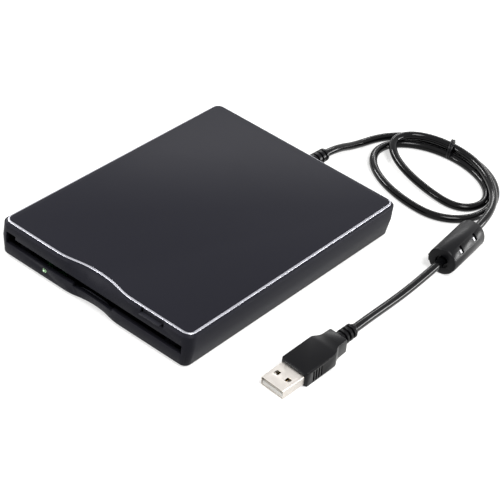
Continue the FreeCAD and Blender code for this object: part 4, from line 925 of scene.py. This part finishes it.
@dataclass
class Case(SubAssembly):
    """The hood, its trim, the bottom plate, the feet and the screws. Sizes are in millimetres."""

    half_width: float = 52.0
    half_depth: float = 71.0
    # The disk slot's upper edge bows down towards the middle of the wave
    mouth_top: float = 11.3
    bow_half_width: float = 20.0
    bow_depth: float = 0.8
    foot_radius: float = 3.95
    foot_spots: tuple[Pair, ...] = tuple((x, y) for x in (-40.0, 40.0) for y in (-56.0, 56.0))
    # A case screw's head and shank, and its cross recess as half a width and half a length
    screw_radius: float = 1.9
    screw_head: float = 0.85
    shank_radius: float = 0.8
    cross_sides: Pair = (0.25, 1.1)
    cross_depth: float = 0.5

    def build(self) -> list[bpy.types.Object]:
        """Builds the case's pieces.

        Returns:
            The pieces.
        """
        hood, trim = self.hood(), self.trim()
        plate = self.eased_copy(MOULDED_ABS, "bottom_plate", Body.CASE, Slot.CHARCOAL, "bottom_cover", 0.15)
        return [hood, trim, plate, self.feet(), self.screws()]

    def hood(self) -> bpy.types.Object:
        """Eases the edges of the hood.

        Returns:
            The hood.
        """
        piece = copy_node("top_cover")
        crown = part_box("top_cover")[1].z / MM
        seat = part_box("top_trim")[0].z / MM
        self.shift_rings(
            piece,
            (ring(piece, crown), -0.5, 0.15),
            (ring(piece, seat, crown), -0.5, 0.0),
            (ring(piece, seat, seat - 0.9), -0.65, 0.15),
            (ring(piece, seat - 0.3), -0.5, 0.2),
        )
        self.bow_mouth(piece)
        ease_edges(piece, 0.18, 2, 40)
        smooth(piece, 38)
        return self.give(piece, MOULDED_ABS, "hood", Body.CASE, Slot.CHARCOAL, "top_cover")

    def trim(self) -> bpy.types.Object:
        """Leans the silver strip outwards, a little below the crown, and rounds its edges.

        Returns:
            The strip.
        """
        piece = copy_node("top_trim")
        seat, top = (corner.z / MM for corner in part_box("top_trim"))
        eased = top - 0.35
        self.shift_rings(
            piece,
            (ring(piece, top, seat), -0.5, -0.15),
            (ring(piece, seat, top), -0.5, 0.0),
            (ring(piece, top, eased), -0.7, -0.25),
            (ring(piece, eased), -0.65, -0.15),
            (ring(piece, seat, eased), -0.65, 0.15),
        )
        ease_edges(piece, 0.08, 2, 40)
        smooth(piece, 50)
        # The strip is silver as a painted highlight along the hood's black edge
        return self.give(piece, SILVER_HIGHLIGHT_STRIP, "silver_strip", Body.CASE, Slot.TRIM, "top_trim")

    def bow_mouth(self, piece: bpy.types.Object) -> None:
        """Bows the upper edge of the disk slot down towards the middle of the wave.

        Args:
            piece: The hood, in metres at the origin.
        """
        front = -self.half_depth + 1.1
        columns: dict[float, list[int]] = {}
        for index in ring(piece, self.mouth_top):
            place = piece.data.vertices[index].co / MM
            if place.y < front and abs(place.x) < self.bow_half_width:
                columns.setdefault(round(place.x, 1), []).append(index)
        for x, corners in columns.items():
            drop = self.bow_depth * math.cos(math.pi / 2 * x / self.bow_half_width) ** 2
            with editing(piece):
                choose(piece, corners)
                bpy.ops.transform.translate(value=(0, 0, -drop * MM))

    def shift_rings(self, piece: bpy.types.Object, *moves: tuple[Sequence[int], float, float]) -> None:
        """Moves rings of corners outwards from the case's middle, and up.

        Args:
            piece: The piece, in metres at the origin.
            *moves: For each ring its corners, how far it moves outwards and how far up, in millimetres.
        """
        for corners, reach, rise in moves:
            with editing(piece):
                choose(piece, corners)
                growth = (1 + reach / self.half_width, 1 + reach / self.half_depth, 1)
                bpy.ops.transform.resize(value=growth, center_override=(0, 0, 0))
                bpy.ops.transform.translate(value=(0, 0, rise * MM))

    def feet(self) -> bpy.types.Object:
        """Turns one soft-edged foot and copies it to the four corners.

        Returns:
            The feet.
        """
        low, high = (corner.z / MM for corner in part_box("rubber_feet"))
        r = self.foot_radius
        profile = [
            (low, 0), (low, r - 1.4), (low + 0.02, r - 1.0), (low + 0.12, r - 0.5), (low + 0.35, r - 0.12),
            (low + 0.6, r), (high, r), (high, 0),
        ]
        piece = turn("foot", profile, 36)
        feet = copies(piece, [Matrix.Translation((x, y, 0)) @ UPRIGHT for x, y in self.foot_spots])
        smooth(feet, 60)
        return self.give(feet, FOOT_RUBBER, "soft_feet", Body.CASE, Slot.RUBBER, "rubber_feet")

    def screws(self) -> bpy.types.Object:
        """Turns one case screw, sinks a cross into its head and copies it to the four corners.

        Returns:
            The screws.
        """
        low, high = (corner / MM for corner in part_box("case_screws"))
        head, shank = self.screw_radius, self.shank_radius
        seat = low.z + self.screw_head
        profile = [
            (low.z, 0), (low.z, head - 0.5), (low.z + 0.1, head - 0.15), (low.z + 0.3, head), (seat, head),
            (seat, shank), (high.z - 0.5, shank), (high.z, shank / 2), (high.z, 0),
        ]
        piece = turn("screw", profile, 32)
        deep = low.z + self.cross_depth
        for y, z in (self.cross_sides, self.cross_sides[::-1]):
            carve(piece, block("recess", (0, -y, -z), (deep, y, z)))
        spots = [(x, y) for x in (low.x + head, high.x - head) for y in (low.y + head, high.y - head)]
        screws = copies(piece, [Matrix.Translation((x, y, 0)) @ UPRIGHT for x, y in spots])
        smooth(screws, 40)
        return self.give(screws, ZINC_STEEL, "plate_screws", Body.CASE, Slot.SCREW, "case_screws")


@dataclass
class Front(SubAssembly):
    """What shows in the front: the eject button, the lamp's lens and the dust flap."""

    # How far the button's face lies back, and the ledge along its foot
    button_inset: float = 2.2
    ledge_height: float = 0.5
    ledge_short: float = 1.4
    ledge_deep: float = 6.0
    lens_length: float = 1.95

    def build(self) -> list[bpy.types.Object]:
        """Builds the front's pieces.

        Returns:
            The pieces.
        """
        return [
            self.button(),
            self.eased_copy(FLAP_POM, "dust_flap", Body.FLAP, Slot.FLAP, "slot_flap", 0.12),
            self.lens(),
        ]

    def button(self) -> bpy.types.Object:
        """Sets the eject button back in its opening, with a thin ledge along its foot for the finger.

        Returns:
            The button.
        """
        low, high = (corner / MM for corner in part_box("eject_button"))
        body = block("body", (low.x, low.y + self.button_inset, low.z), high)
        corner = (high.x - self.ledge_short, high.y - self.ledge_deep, low.z + self.ledge_height)
        ledge = block("ledge", low, corner)
        piece = join([body, ledge])
        place_mesh(piece, Matrix.Identity(4))
        ease_edges(piece, 0.14, 3, 40)
        smooth(piece)
        return self.give(piece, BUTTON_ABS, "eject_key", Body.SLIDER, Slot.BUTTON, "eject_button")

    def lens(self) -> bpy.types.Object:
        """Turns the lamp's lens with its rounded nose, and darkens the rod that it ends.

        Returns:
            The lens.
        """
        low, high = (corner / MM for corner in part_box("led_lens"))
        r = (high.x - low.x) / 2
        tip = self.lens_length
        profile = [
            (0, 0), (0, 0.72 * r), (tip - 0.45, 0.72 * r), (tip - 0.2, 0.55 * r), (tip - 0.05, 0.3 * r),
            (tip, 0),
        ]
        piece = turn("lens", profile, 24)
        to_front = Matrix.Rotation(-math.pi / 2, 4, "Z")
        centre = Matrix.Translation(((low.x + high.x) / 2, low.y + tip - 0.05, (low.z + high.z) / 2))
        place_mesh(piece, centre @ to_front)
        smooth(piece, 50)
        self.give(piece, LENS_ACRYLIC, "lamp_lens", Body.CASE, Slot.LENS)
        rim = copy_node("led_lens")
        smooth(rim, 50)
        self.give(rim, LENS_RIM, "lamp_rim", Body.CASE, Slot.LENS, "led_lens")
        return piece


@dataclass
class Lead(SubAssembly):
    """The lead with its strain relief, its tie, the ferrite's shells and the plug."""

    radius: float = 1.9
    # The real lead's length, in metres
    length: float = 0.592
    # The ferrite, with the split's depth under its axis and the windows' turn above the level
    tray_radius: float = 6.5
    lid_radius: float = 6.7
    split: float = 2.2
    split_gap: float = 0.12
    window_spots: Pair = (9.8, 22.2)
    window_angle: float = math.radians(45)
    # The shells' hinge: where its knuckles stand, and the lid's barrel between them
    hinge_y: float = 7.45
    knuckle_spots: Pair = (5.5, 23.5)
    knuckle_length: float = 3.0
    knuckle_radius: float = 0.75
    lid_barrel: Pair = (8.65, 23.35)
    # The wire tie: its middle, the size of its turns and how far they spread along the strands
    tie_place: Point = (33.6, 144.9, 0.0)
    tie_half_width: float = 4.9
    tie_height: float = 8.0
    tie_radius: float = 0.55
    tie_length: float = 1.9
    tie_turns: int = 2
    tie_steps: int = 14
    tie_squareness: float = 0.75

    # Out of the case, down to the ground and up to the tie
    leaving: tuple[Point, ...] = (
        (0.5, 84.5, 8.7), (0.5, 88.0, 8.7), (0.6, 94.0, 8.1), (0.5, 101.5, 6.3), (0.8, 109.0, 4.0),
        (1.0, 117.0, 2.2), (2.6, 125.2, 1.95), (5.6, 132.3, 1.95), (10.4, 139.2, 1.95),
        (18.0, 144.0, 1.95), (28.0, 147.0, 1.95),
    )
    # Where the turns run straight across or along: at the back, right, front and left, and so on.
    # The second turn climbs over the first one at the left. A run is about as long as the last value.
    quarter_ends: tuple[Point, ...] = (
        (39.5, 148.6, 1.95), (72.5, 116.5, 1.95), (51.5, 94.0, 1.95), (9.0, 121.5, 1.95), (37.0, 142.9, 1.95),
        (68.0, 120.0, 1.95), (57.0, 108.4, 1.95), (12.0, 130.0, 5.8), (34.5, 145.2, 5.8),
    )
    run: float = 8.0
    # Over the first turn and out to the right, to the ferrite
    from_turns: tuple[Point, ...] = (
        (46.0, 143.8, 5.8), (55.0, 139.6, 5.8), (63.0, 133.8, 5.8), (69.5, 126.8, 5.8), (74.0, 119.0, 6.1),
        (77.2, 110.0, 6.5), (79.3, 100.0, 6.7), (80.6, 89.0, 6.75), (81.8, 76.0, 6.75), (83.3, 62.0, 6.75),
    )
    # From the ferrite down towards the ground and up into the plug
    to_plug: tuple[Point, ...] = (
        (83.8, 52.0, 6.3), (84.2, 43.0, 6.0), (84.6, 33.0, 5.9), (84.8, 22.0, 6.1), (85.2, 11.6, 6.9),
        (85.6, 3.8, 7.6), (85.9, -2.5, 8.0), (85.95, -8.79, 8.18),
    )
    exit: Point = (0.5, 86.5, 8.7)

    def build(self) -> list[bpy.types.Object]:
        """Builds the lead and what is on it.

        Returns:
            The pieces.
        """
        lead = self.cable()
        on_it = [self.relief(), self.tie(), *self.ferrite(), *self.plug()]
        [value * MM for value in self.exit]
        return [lead, *on_it]

    def turns(self) -> list[Point]:
        """Works out the two loose turns, each quarter a quarter of an oval between its ends.

        Returns:
            The turns' points.
        """
        points = [self.quarter_ends[0]]
        for index, (start, end) in enumerate(zip(self.quarter_ends, self.quarter_ends[1:])):
            steps = round(math.dist(start, end) / self.run)
            for step in range(1, steps + 1):
                share = step / steps
                angle = math.pi / 2 * share
                ahead, aside = math.sin(angle), 1 - math.cos(angle)
                shares = (ahead, aside, share) if index % 2 == 0 else (aside, ahead, share)
                points.append(tuple(a + (b - a) * part for a, b, part in zip(start, end, shares)))
        return points

    def cable(self) -> bpy.types.Object:
        """Lays the lead on one smooth curve.

        Returns:
            The lead.
        """
        route = [*self.leaving, *self.turns(), *self.from_turns, *self.to_plug]
        piece = lay_curve("lead", route, self.radius, 6, 8)
        nodes = ("cord_lead_in", "cord_coil", "cord_lead_out")
        return self.give(piece, GLOSSY_PVC, "lead", Body.CASE, Slot.CORD, *nodes)

    def relief(self) -> bpy.types.Object:
        """Turns the ringed strain relief at the back of the case.

        Returns:
            The strain relief.
        """
        profile: list[Pair] = [(68.2, 0), (68.2, 2.9), (71.02, 2.9), (71.02, 3.55)]
        rings, pitch, groove = 5, 2.9, 1.0
        for index in range(rings):
            start = 72.6 + index * pitch
            outer = 3.55 - 0.09 * index
            core = 2.75 - 0.09 * index
            profile += [
                (start - 0.15, outer), (start, outer - 0.15), (start + 0.05, core),
                (start + groove - 0.05, core),
                (start + groove, outer - 0.24), (start + groove + 0.15, outer - 0.09),
            ]
        profile += [(86.35, 3.1), (86.5, 2.9), (86.5, 1.7), (86.5, 0)]
        piece = turn("relief", profile, 40)
        place_mesh(piece, Matrix.Translation((0.5, 0, 8.7)) @ Matrix.Rotation(math.pi / 2, 4, "Z"))
        smooth(piece, 40)
        return self.give(piece, MOULDED_PVC, "strain_relief", Body.CASE, Slot.CORD, "cord_boot")

    def tie(self) -> bpy.types.Object:
        """Winds the wire tie twice round the three strands.

        Returns:
            The tie.
        """
        along, across = Vector((0.9171, 0.3987, 0.0)), Vector((0.3987, -0.9171, 0.0))
        wide, high, thick = self.tie_half_width, self.tie_height, self.tie_radius
        steps = self.tie_turns * self.tie_steps
        points = []
        for index in range(steps + 1):
            angle = 2 * math.pi * index / self.tie_steps - math.pi / 2
            flat = math.cos(angle)
            side = math.copysign(abs(flat) ** self.tie_squareness, flat) * wide
            rise = thick + (high - thick) * (0.5 + 0.5 * math.sin(angle))
            drift = (index / steps - 0.5) * self.tie_length
            points.append(Vector(self.tie_place) + across * side + along * drift + Vector((0, 0, rise)))
        activate(lay_curve("tie", points, thick, 4, 3))
        bpy.ops.object.convert(target="MESH")
        piece = bpy.context.object
        smooth(piece, 60)
        return self.give(piece, MOULDED_PVC, "wire_tie", Body.CASE, Slot.CORD, "cord_tie")

    def ferrite(self) -> list[bpy.types.Object]:
        """Builds the ferrite: two snap shells hinged along one side, round a split core.

        Returns:
            The shells, the latches and the half cores.
        """
        place = Matrix.Translation((83.5, 61.0, 6.75)) @ Matrix.Rotation(math.radians(95.89), 4, "Z")
        gap = self.split_gap
        tray = self.half_shell("tray", self.tray_radius, (2.0, 30.0), (-self.split, 20.0))
        hinge = [
            shape
            for x in self.knuckle_spots
            for shape in (
                self.barrel(x, x + self.knuckle_length),
                block("web", (x, 5.6, -2.9), (x + self.knuckle_length, self.hinge_y, -self.split - gap)),
            )
        ]
        lid = self.half_shell("lid", self.lid_radius, (1.6, 30.4), (-20.0, -self.split + gap))
        for x in self.window_spots:
            slot = block("slot", (x - 0.5, -9, -1.8), (x + 1.0, -5.0, 1.8))
            notch = block("notch", (x - 1.7, -9, -1.4), (x - 0.45, -5.0, 0.5))
            for cutter in (slot, notch):
                cutter.matrix_world = Matrix.Rotation(-self.window_angle, 4, "X")
            carve(lid, slot, notch)
        start, end = self.lid_barrel
        web_top = -self.split + self.knuckle_radius
        web = block("lid_web", (start, 5.6, -self.split + gap), (end, self.hinge_y, web_top))
        lid = join([lid, self.barrel(start, end), web])
        # The latch tabs are white as a painted glint in the windows
        latches = []
        for x in self.window_spots:
            nub = block("nub", (x - 1.55, -6.7, -1.25), (x - 0.5, -5.05, 0.35))
            nub.matrix_world = Matrix.Rotation(-self.window_angle, 4, "X")
            latches += [nub, block("stem", (x - 1.15, -4.8, -4.2), (x - 0.45, -4.2, 2.7))]
        lower = self.half_core("lower", (-0.05, 9.0))
        upper = self.half_core("upper", (-9.0, 0.05))
        shell, core = (FERRITE_SHELL, Slot.FERRITE_SHELL), (SINTERED_FERRITE, Slot.FERRITE_CORE)
        made = []
        for piece, name, body, (finish, slot), *nodes in (
            (join([tray, *hinge]), "ferrite_tray", Body.CASE, shell, "ferrite_base"),
            (lid, "ferrite_lid_shell", Body.FERRITE_LID, shell, "ferrite_cover"),
            (join(latches), "ferrite_latches", Body.CASE, (LATCH_WHITE_GLINT, Slot.FERRITE_SHELL)),
            (lower, "core_half_lower", Body.CASE, core, "ferrite_core_lower"),
            (upper, "core_half_upper", Body.FERRITE_LID, core, "ferrite_core_upper"),
        ):
            place_mesh(piece, place)
            ease_edges(piece, 0.12, 2, 50)
            smooth(piece, 40)
            made.append(self.give(piece, finish, name, body, slot, *nodes))
        return made

    def barrel(self, start: float, end: float) -> bpy.types.Object:
        """Turns a knuckle of the ferrite's hinge.

        Args:
            start: Where it starts along the ferrite, in millimetres.
            end: Where it ends.

        Returns:
            The knuckle.
        """
        radius = self.knuckle_radius
        piece = turn("knuckle", [(start, 0), (start, radius), (end, radius), (end, 0)], 20)
        piece.matrix_world = Matrix.Translation((0, self.hinge_y, -self.split))
        return piece

    def half_shell(
        self, name: str, radius: float, ends: Pair, gone: Pair
    ) -> bpy.types.Object:
        """Turns a hollow shell with a mouth at each end and cuts one side away.

        Args:
            name: The object's name.
            radius: The outer radius, in millimetres.
            ends: Where it starts and ends along the ferrite.
            gone: The heights between which it is cut away.

        Returns:
            The half shell.
        """
        (start, end), inner, mouth = ends, radius - 1.3, 3.1
        profile = [
            (start, mouth), (start, radius - 0.6), (start + 0.2, radius - 0.2), (start + 0.6, radius),
            (end - 0.6, radius), (end - 0.2, radius - 0.2), (end, radius - 0.6), (end, mouth),
            (end - 1.1, mouth), (end - 1.1, inner), (start + 1.1, inner), (start + 1.1, mouth),
            (start, mouth),
        ]
        piece = turn(name, profile, 56)
        carve(piece, block("rest", (-1, -20, gone[0]), (40, 20, gone[1])))
        return piece

    @staticmethod
    def half_core(name: str, gone: Pair) -> bpy.types.Object:
        """Turns a half of the ferrite core, with its half of the bore.

        Args:
            name: The object's name.
            gone: The heights between which it is cut away.

        Returns:
            The half core.
        """
        profile = [(4.0, 2.2), (4.0, 4.5), (4.4, 4.9), (27.6, 4.9), (28.0, 4.5), (28.0, 2.2), (4.0, 2.2)]
        piece = turn("core_" + name, profile, 40)
        carve(piece, block("rest", (-1, -20, gone[0]), (40, 20, gone[1])))
        flats = [block("flat", (-1, side, -20), (40, side + 16, 20)) for side in (-20, 4.0)]
        carve(piece, *flats)
        return piece

    def plug(self) -> list[bpy.types.Object]:
        """Builds the plug's overmould and its shell.

        Returns:
            The pieces.
        """
        turn_plug = Euler((0, math.radians(7.4), 0)).to_matrix().to_4x4()
        place = (
            Matrix.Translation((83.3, -42.4, 3.8)) @ Matrix.Rotation(math.radians(-94.5), 4, "Z") @ turn_plug
        )
        stations: list[Point] = [
            (0.0, 6.1, 2.95), (-0.15, 6.25, 3.1), (-1.15, 7.0, 3.8), (-17.4, 7.0, 3.8), (-18.1, 6.85, 3.79),
            (-18.9, 6.4, 3.77), (-19.9, 5.65, 3.74), (-21.0, 5.1, 3.7), (-22.2, 4.85, 3.66),
            (-26.6, 4.75, 3.5),
            (-27.1, 4.5, 3.3),
        ]
        body = loft("overmould", 0.55, stations, 3)
        for side in (-1, 1):
            for index in range(4):
                x = -4.3 - 1.55 * index
                carve(body, block("groove", (x - 0.7, side * 7.0 - 0.45, -2.9), (x, side * 7.0 + 0.45, 2.7)))
        # The form is still in millimetres, so the width is given as if they were metres
        ease_edges(body, 0.12 / MM, 2, 40)
        relief = turn("plug_relief", self.relief_profile(), 32)
        whole = join([body, relief])
        place_mesh(whole, place)
        smooth(whole, 38)
        grip = self.give(whole, MOULDED_PVC, "plug_grip", Body.CASE, Slot.CORD, "plug_overmould")
        sleeve = self.eased_copy(NICKEL_PLATE, "plug_sleeve", Body.CASE, Slot.NICKEL, "plug_shell", 0.08, 40)
        return [grip, sleeve]

    @staticmethod
    def relief_profile() -> list[Pair]:
        """Gives the profile of the plug's own strain relief.

        Returns:
            The corners, from the overmould to the lead.
        """
        profile: list[Pair] = [(-26.0, 0), (-26.0, 3.2), (-28.3, 3.2)]
        for index in range(3):
            start = -28.4 - 2.3 * index
            outer = 3.3 - 0.05 * index
            profile += [
                (start, outer - 0.9), (start - 0.85, outer - 0.9), (start - 0.95, outer - 0.15),
                (start - 1.1, outer), (start - 2.1, outer), (start - 2.2, outer - 0.15),
            ]
        profile += [(-35.6, 2.5), (-36.6, 2.3), (-36.8, 2.1), (-36.8, 0)]
        return profile


# ---------------------------------------------------------------- studio


@dataclass(frozen=True)
class Lamp:
    """A soft area light.

    Attributes:
        name: Its name.
        place: Where it hangs, in millimetres.
        aim: What it points at, in millimetres.
        size: The sides of its panel, in millimetres.
        power: Its power in watts.
    """

    name: str
    place: Point
    aim: Point
    size: Pair
    power: float

    def hang(self) -> None:
        """Adds the light to the scene."""
        data = bpy.data.lights.new(self.name, "AREA")
        data.shape = "RECTANGLE"
        data.size, data.size_y = (side * MM for side in self.size)
        data.energy = self.power
        lamp = bpy.data.objects.new(self.name, data)
        lamp.location = Vector(self.place) * MM
        lamp.rotation_euler = (Vector(self.aim) - Vector(self.place)).to_track_quat("-Z", "Y").to_euler()
        bpy.context.scene.collection.objects.link(lamp)


@dataclass
class Studio:
    """A pale floor, a white surround, soft lamps and the camera."""

    camera_place: Point = (376.14, -537.73, 477.77)
    camera_right: Point = (0.7702, 0.6225, 0.139)
    camera_up: Point = (-0.4605, 0.3918, 0.7965)
    camera_back: Point = (0.4413, -0.6775, 0.5884)
    focal_length: float = 135.41
    sensor: float = 36.0
    floor_side: float = 8000.0
    floor_colour: str = "#BDBDBB"
    dim_floor_colour: str = "#8A8A88"
    lamps: tuple[Lamp, ...] = (
        Lamp("right panel", (560, 610, 120), (80, 40, 0), (460, 150), 5.0),
        Lamp("high panel", (500, -100, 850), (60, 60, 0), (420, 420), 9.0),
        Lamp("left strip", (-900, -60, 500), (40, 110, 0), (500, 100), 9.0),
        Lamp("front strip", (-500, -900, 300), (0, 0, 0), (140, 500), 6.0),
        Lamp("far strip", (-500, 840, 480), (0, 60, 0), (620, 60), 2.0),
    )

    def build(self) -> None:
        """Sets up the floor, the surround, the lamps and the camera."""
        scene = bpy.context.scene
        scene.view_settings.view_transform = "Standard"
        self.floor()
        self.surround()
        for lamp in self.lamps:
            lamp.hang()
        self.camera()

    def floor(self) -> None:
        """Lays the floor, white from above but still taking shadows, and clear from below."""
        bpy.ops.mesh.primitive_grid_add(x_subdivisions=4, y_subdivisions=4, size=self.floor_side * MM)
        floor = bpy.context.object
        floor.name = "studio_floor"
        material = bpy.data.materials.new("seamless paper")
        material.use_nodes = True
        tree = material.node_tree
        tree.nodes.clear()
        paper = add_node(tree, "ShaderNodeBsdfDiffuse", {"Color": linear(self.floor_colour)})
        dim = add_node(tree, "ShaderNodeBsdfDiffuse", {"Color": linear(self.dim_floor_colour)})
        white = add_node(tree, "ShaderNodeEmission", {"Color": (1, 1, 1, 1), "Strength": 0.6})
        lit = add_node(tree, "ShaderNodeAddShader", None, {0: paper.outputs[0], 1: white.outputs[0]})
        mix = add_node(
            tree, "ShaderNodeMixShader", None, {0: self.seen(tree), 1: dim.outputs[0], 2: lit.outputs[0]}
        )
        side = add_node(tree, "ShaderNodeNewGeometry")
        clear = add_node(tree, "ShaderNodeBsdfTransparent")
        sheet = add_node(
            tree,
            "ShaderNodeMixShader",
            None,
            {0: side.outputs["Backfacing"], 1: mix.outputs[0], 2: clear.outputs[0]},
        )
        add_node(tree, "ShaderNodeOutputMaterial", None, {"Surface": sheet.outputs[0]})
        floor.data.materials.append(material)

    @staticmethod
    def seen(tree: bpy.types.NodeTree) -> bpy.types.NodeSocket:
        """Adds a value that is 1 for rays that should meet a white background.

        Args:
            tree: The node tree.

        Returns:
            The value.
        """
        path = add_node(tree, "ShaderNodeLightPath")
        value = path.outputs["Is Camera Ray"]
        for ray in ("Is Glossy Ray", "Is Transmission Ray"):
            links = {0: value, 1: path.outputs[ray]}
            value = add_node(tree, "ShaderNodeMath", {"operation": "MAXIMUM"}, links).outputs[0]
        return value

    def surround(self) -> None:
        """Makes the surround white where it is seen and soft where it lights."""
        world = bpy.data.worlds.new("studio surround")
        bpy.context.scene.world = world
        world.use_nodes = True
        tree = world.node_tree
        tree.nodes.clear()
        soft = add_node(tree, "ShaderNodeBackground", {"Color": (1, 1, 1, 1), "Strength": 0.3})
        white = add_node(tree, "ShaderNodeBackground", {"Color": (1, 1, 1, 1), "Strength": 1.0})
        mix = add_node(
            tree, "ShaderNodeMixShader", None, {0: self.seen(tree), 1: soft.outputs[0], 2: white.outputs[0]}
        )
        add_node(tree, "ShaderNodeOutputWorld", None, {"Surface": mix.outputs[0]})

    def camera(self) -> None:
        """Sets up the camera."""
        data = bpy.data.cameras.new("camera")
        data.lens = self.focal_length
        data.sensor_width = self.sensor
        data.clip_start, data.clip_end = 0.01, 50.0
        camera = bpy.data.objects.new("camera", data)
        axes = (self.camera_right, self.camera_up, self.camera_back)
        turn_matrix = Matrix(axes).transposed().to_quaternion().to_matrix().to_4x4()
        camera.matrix_world = Matrix.Translation(Vector(self.camera_place) * MM) @ turn_matrix
        bpy.context.scene.collection.objects.link(camera)
        bpy.context.scene.camera = camera


def main() -> None:
    """Builds the drive's dress and the studio."""
    logging.basicConfig(level=logging.INFO, format="%(name)s: %(message)s")
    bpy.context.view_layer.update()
    bpy.ops.object.select_all(action="DESELECT")
    shelf = FinishShelf()
    shelf.dress_frame()
    for group in (Case(shelf), Front(shelf), Lead(shelf)):
        made = group.build()
        logger.info("%s: %d pieces", type(group).__name__, len(made))
    Studio().build()
    bpy.context.view_layer.update()


if __name__ == "__main__":
    main()
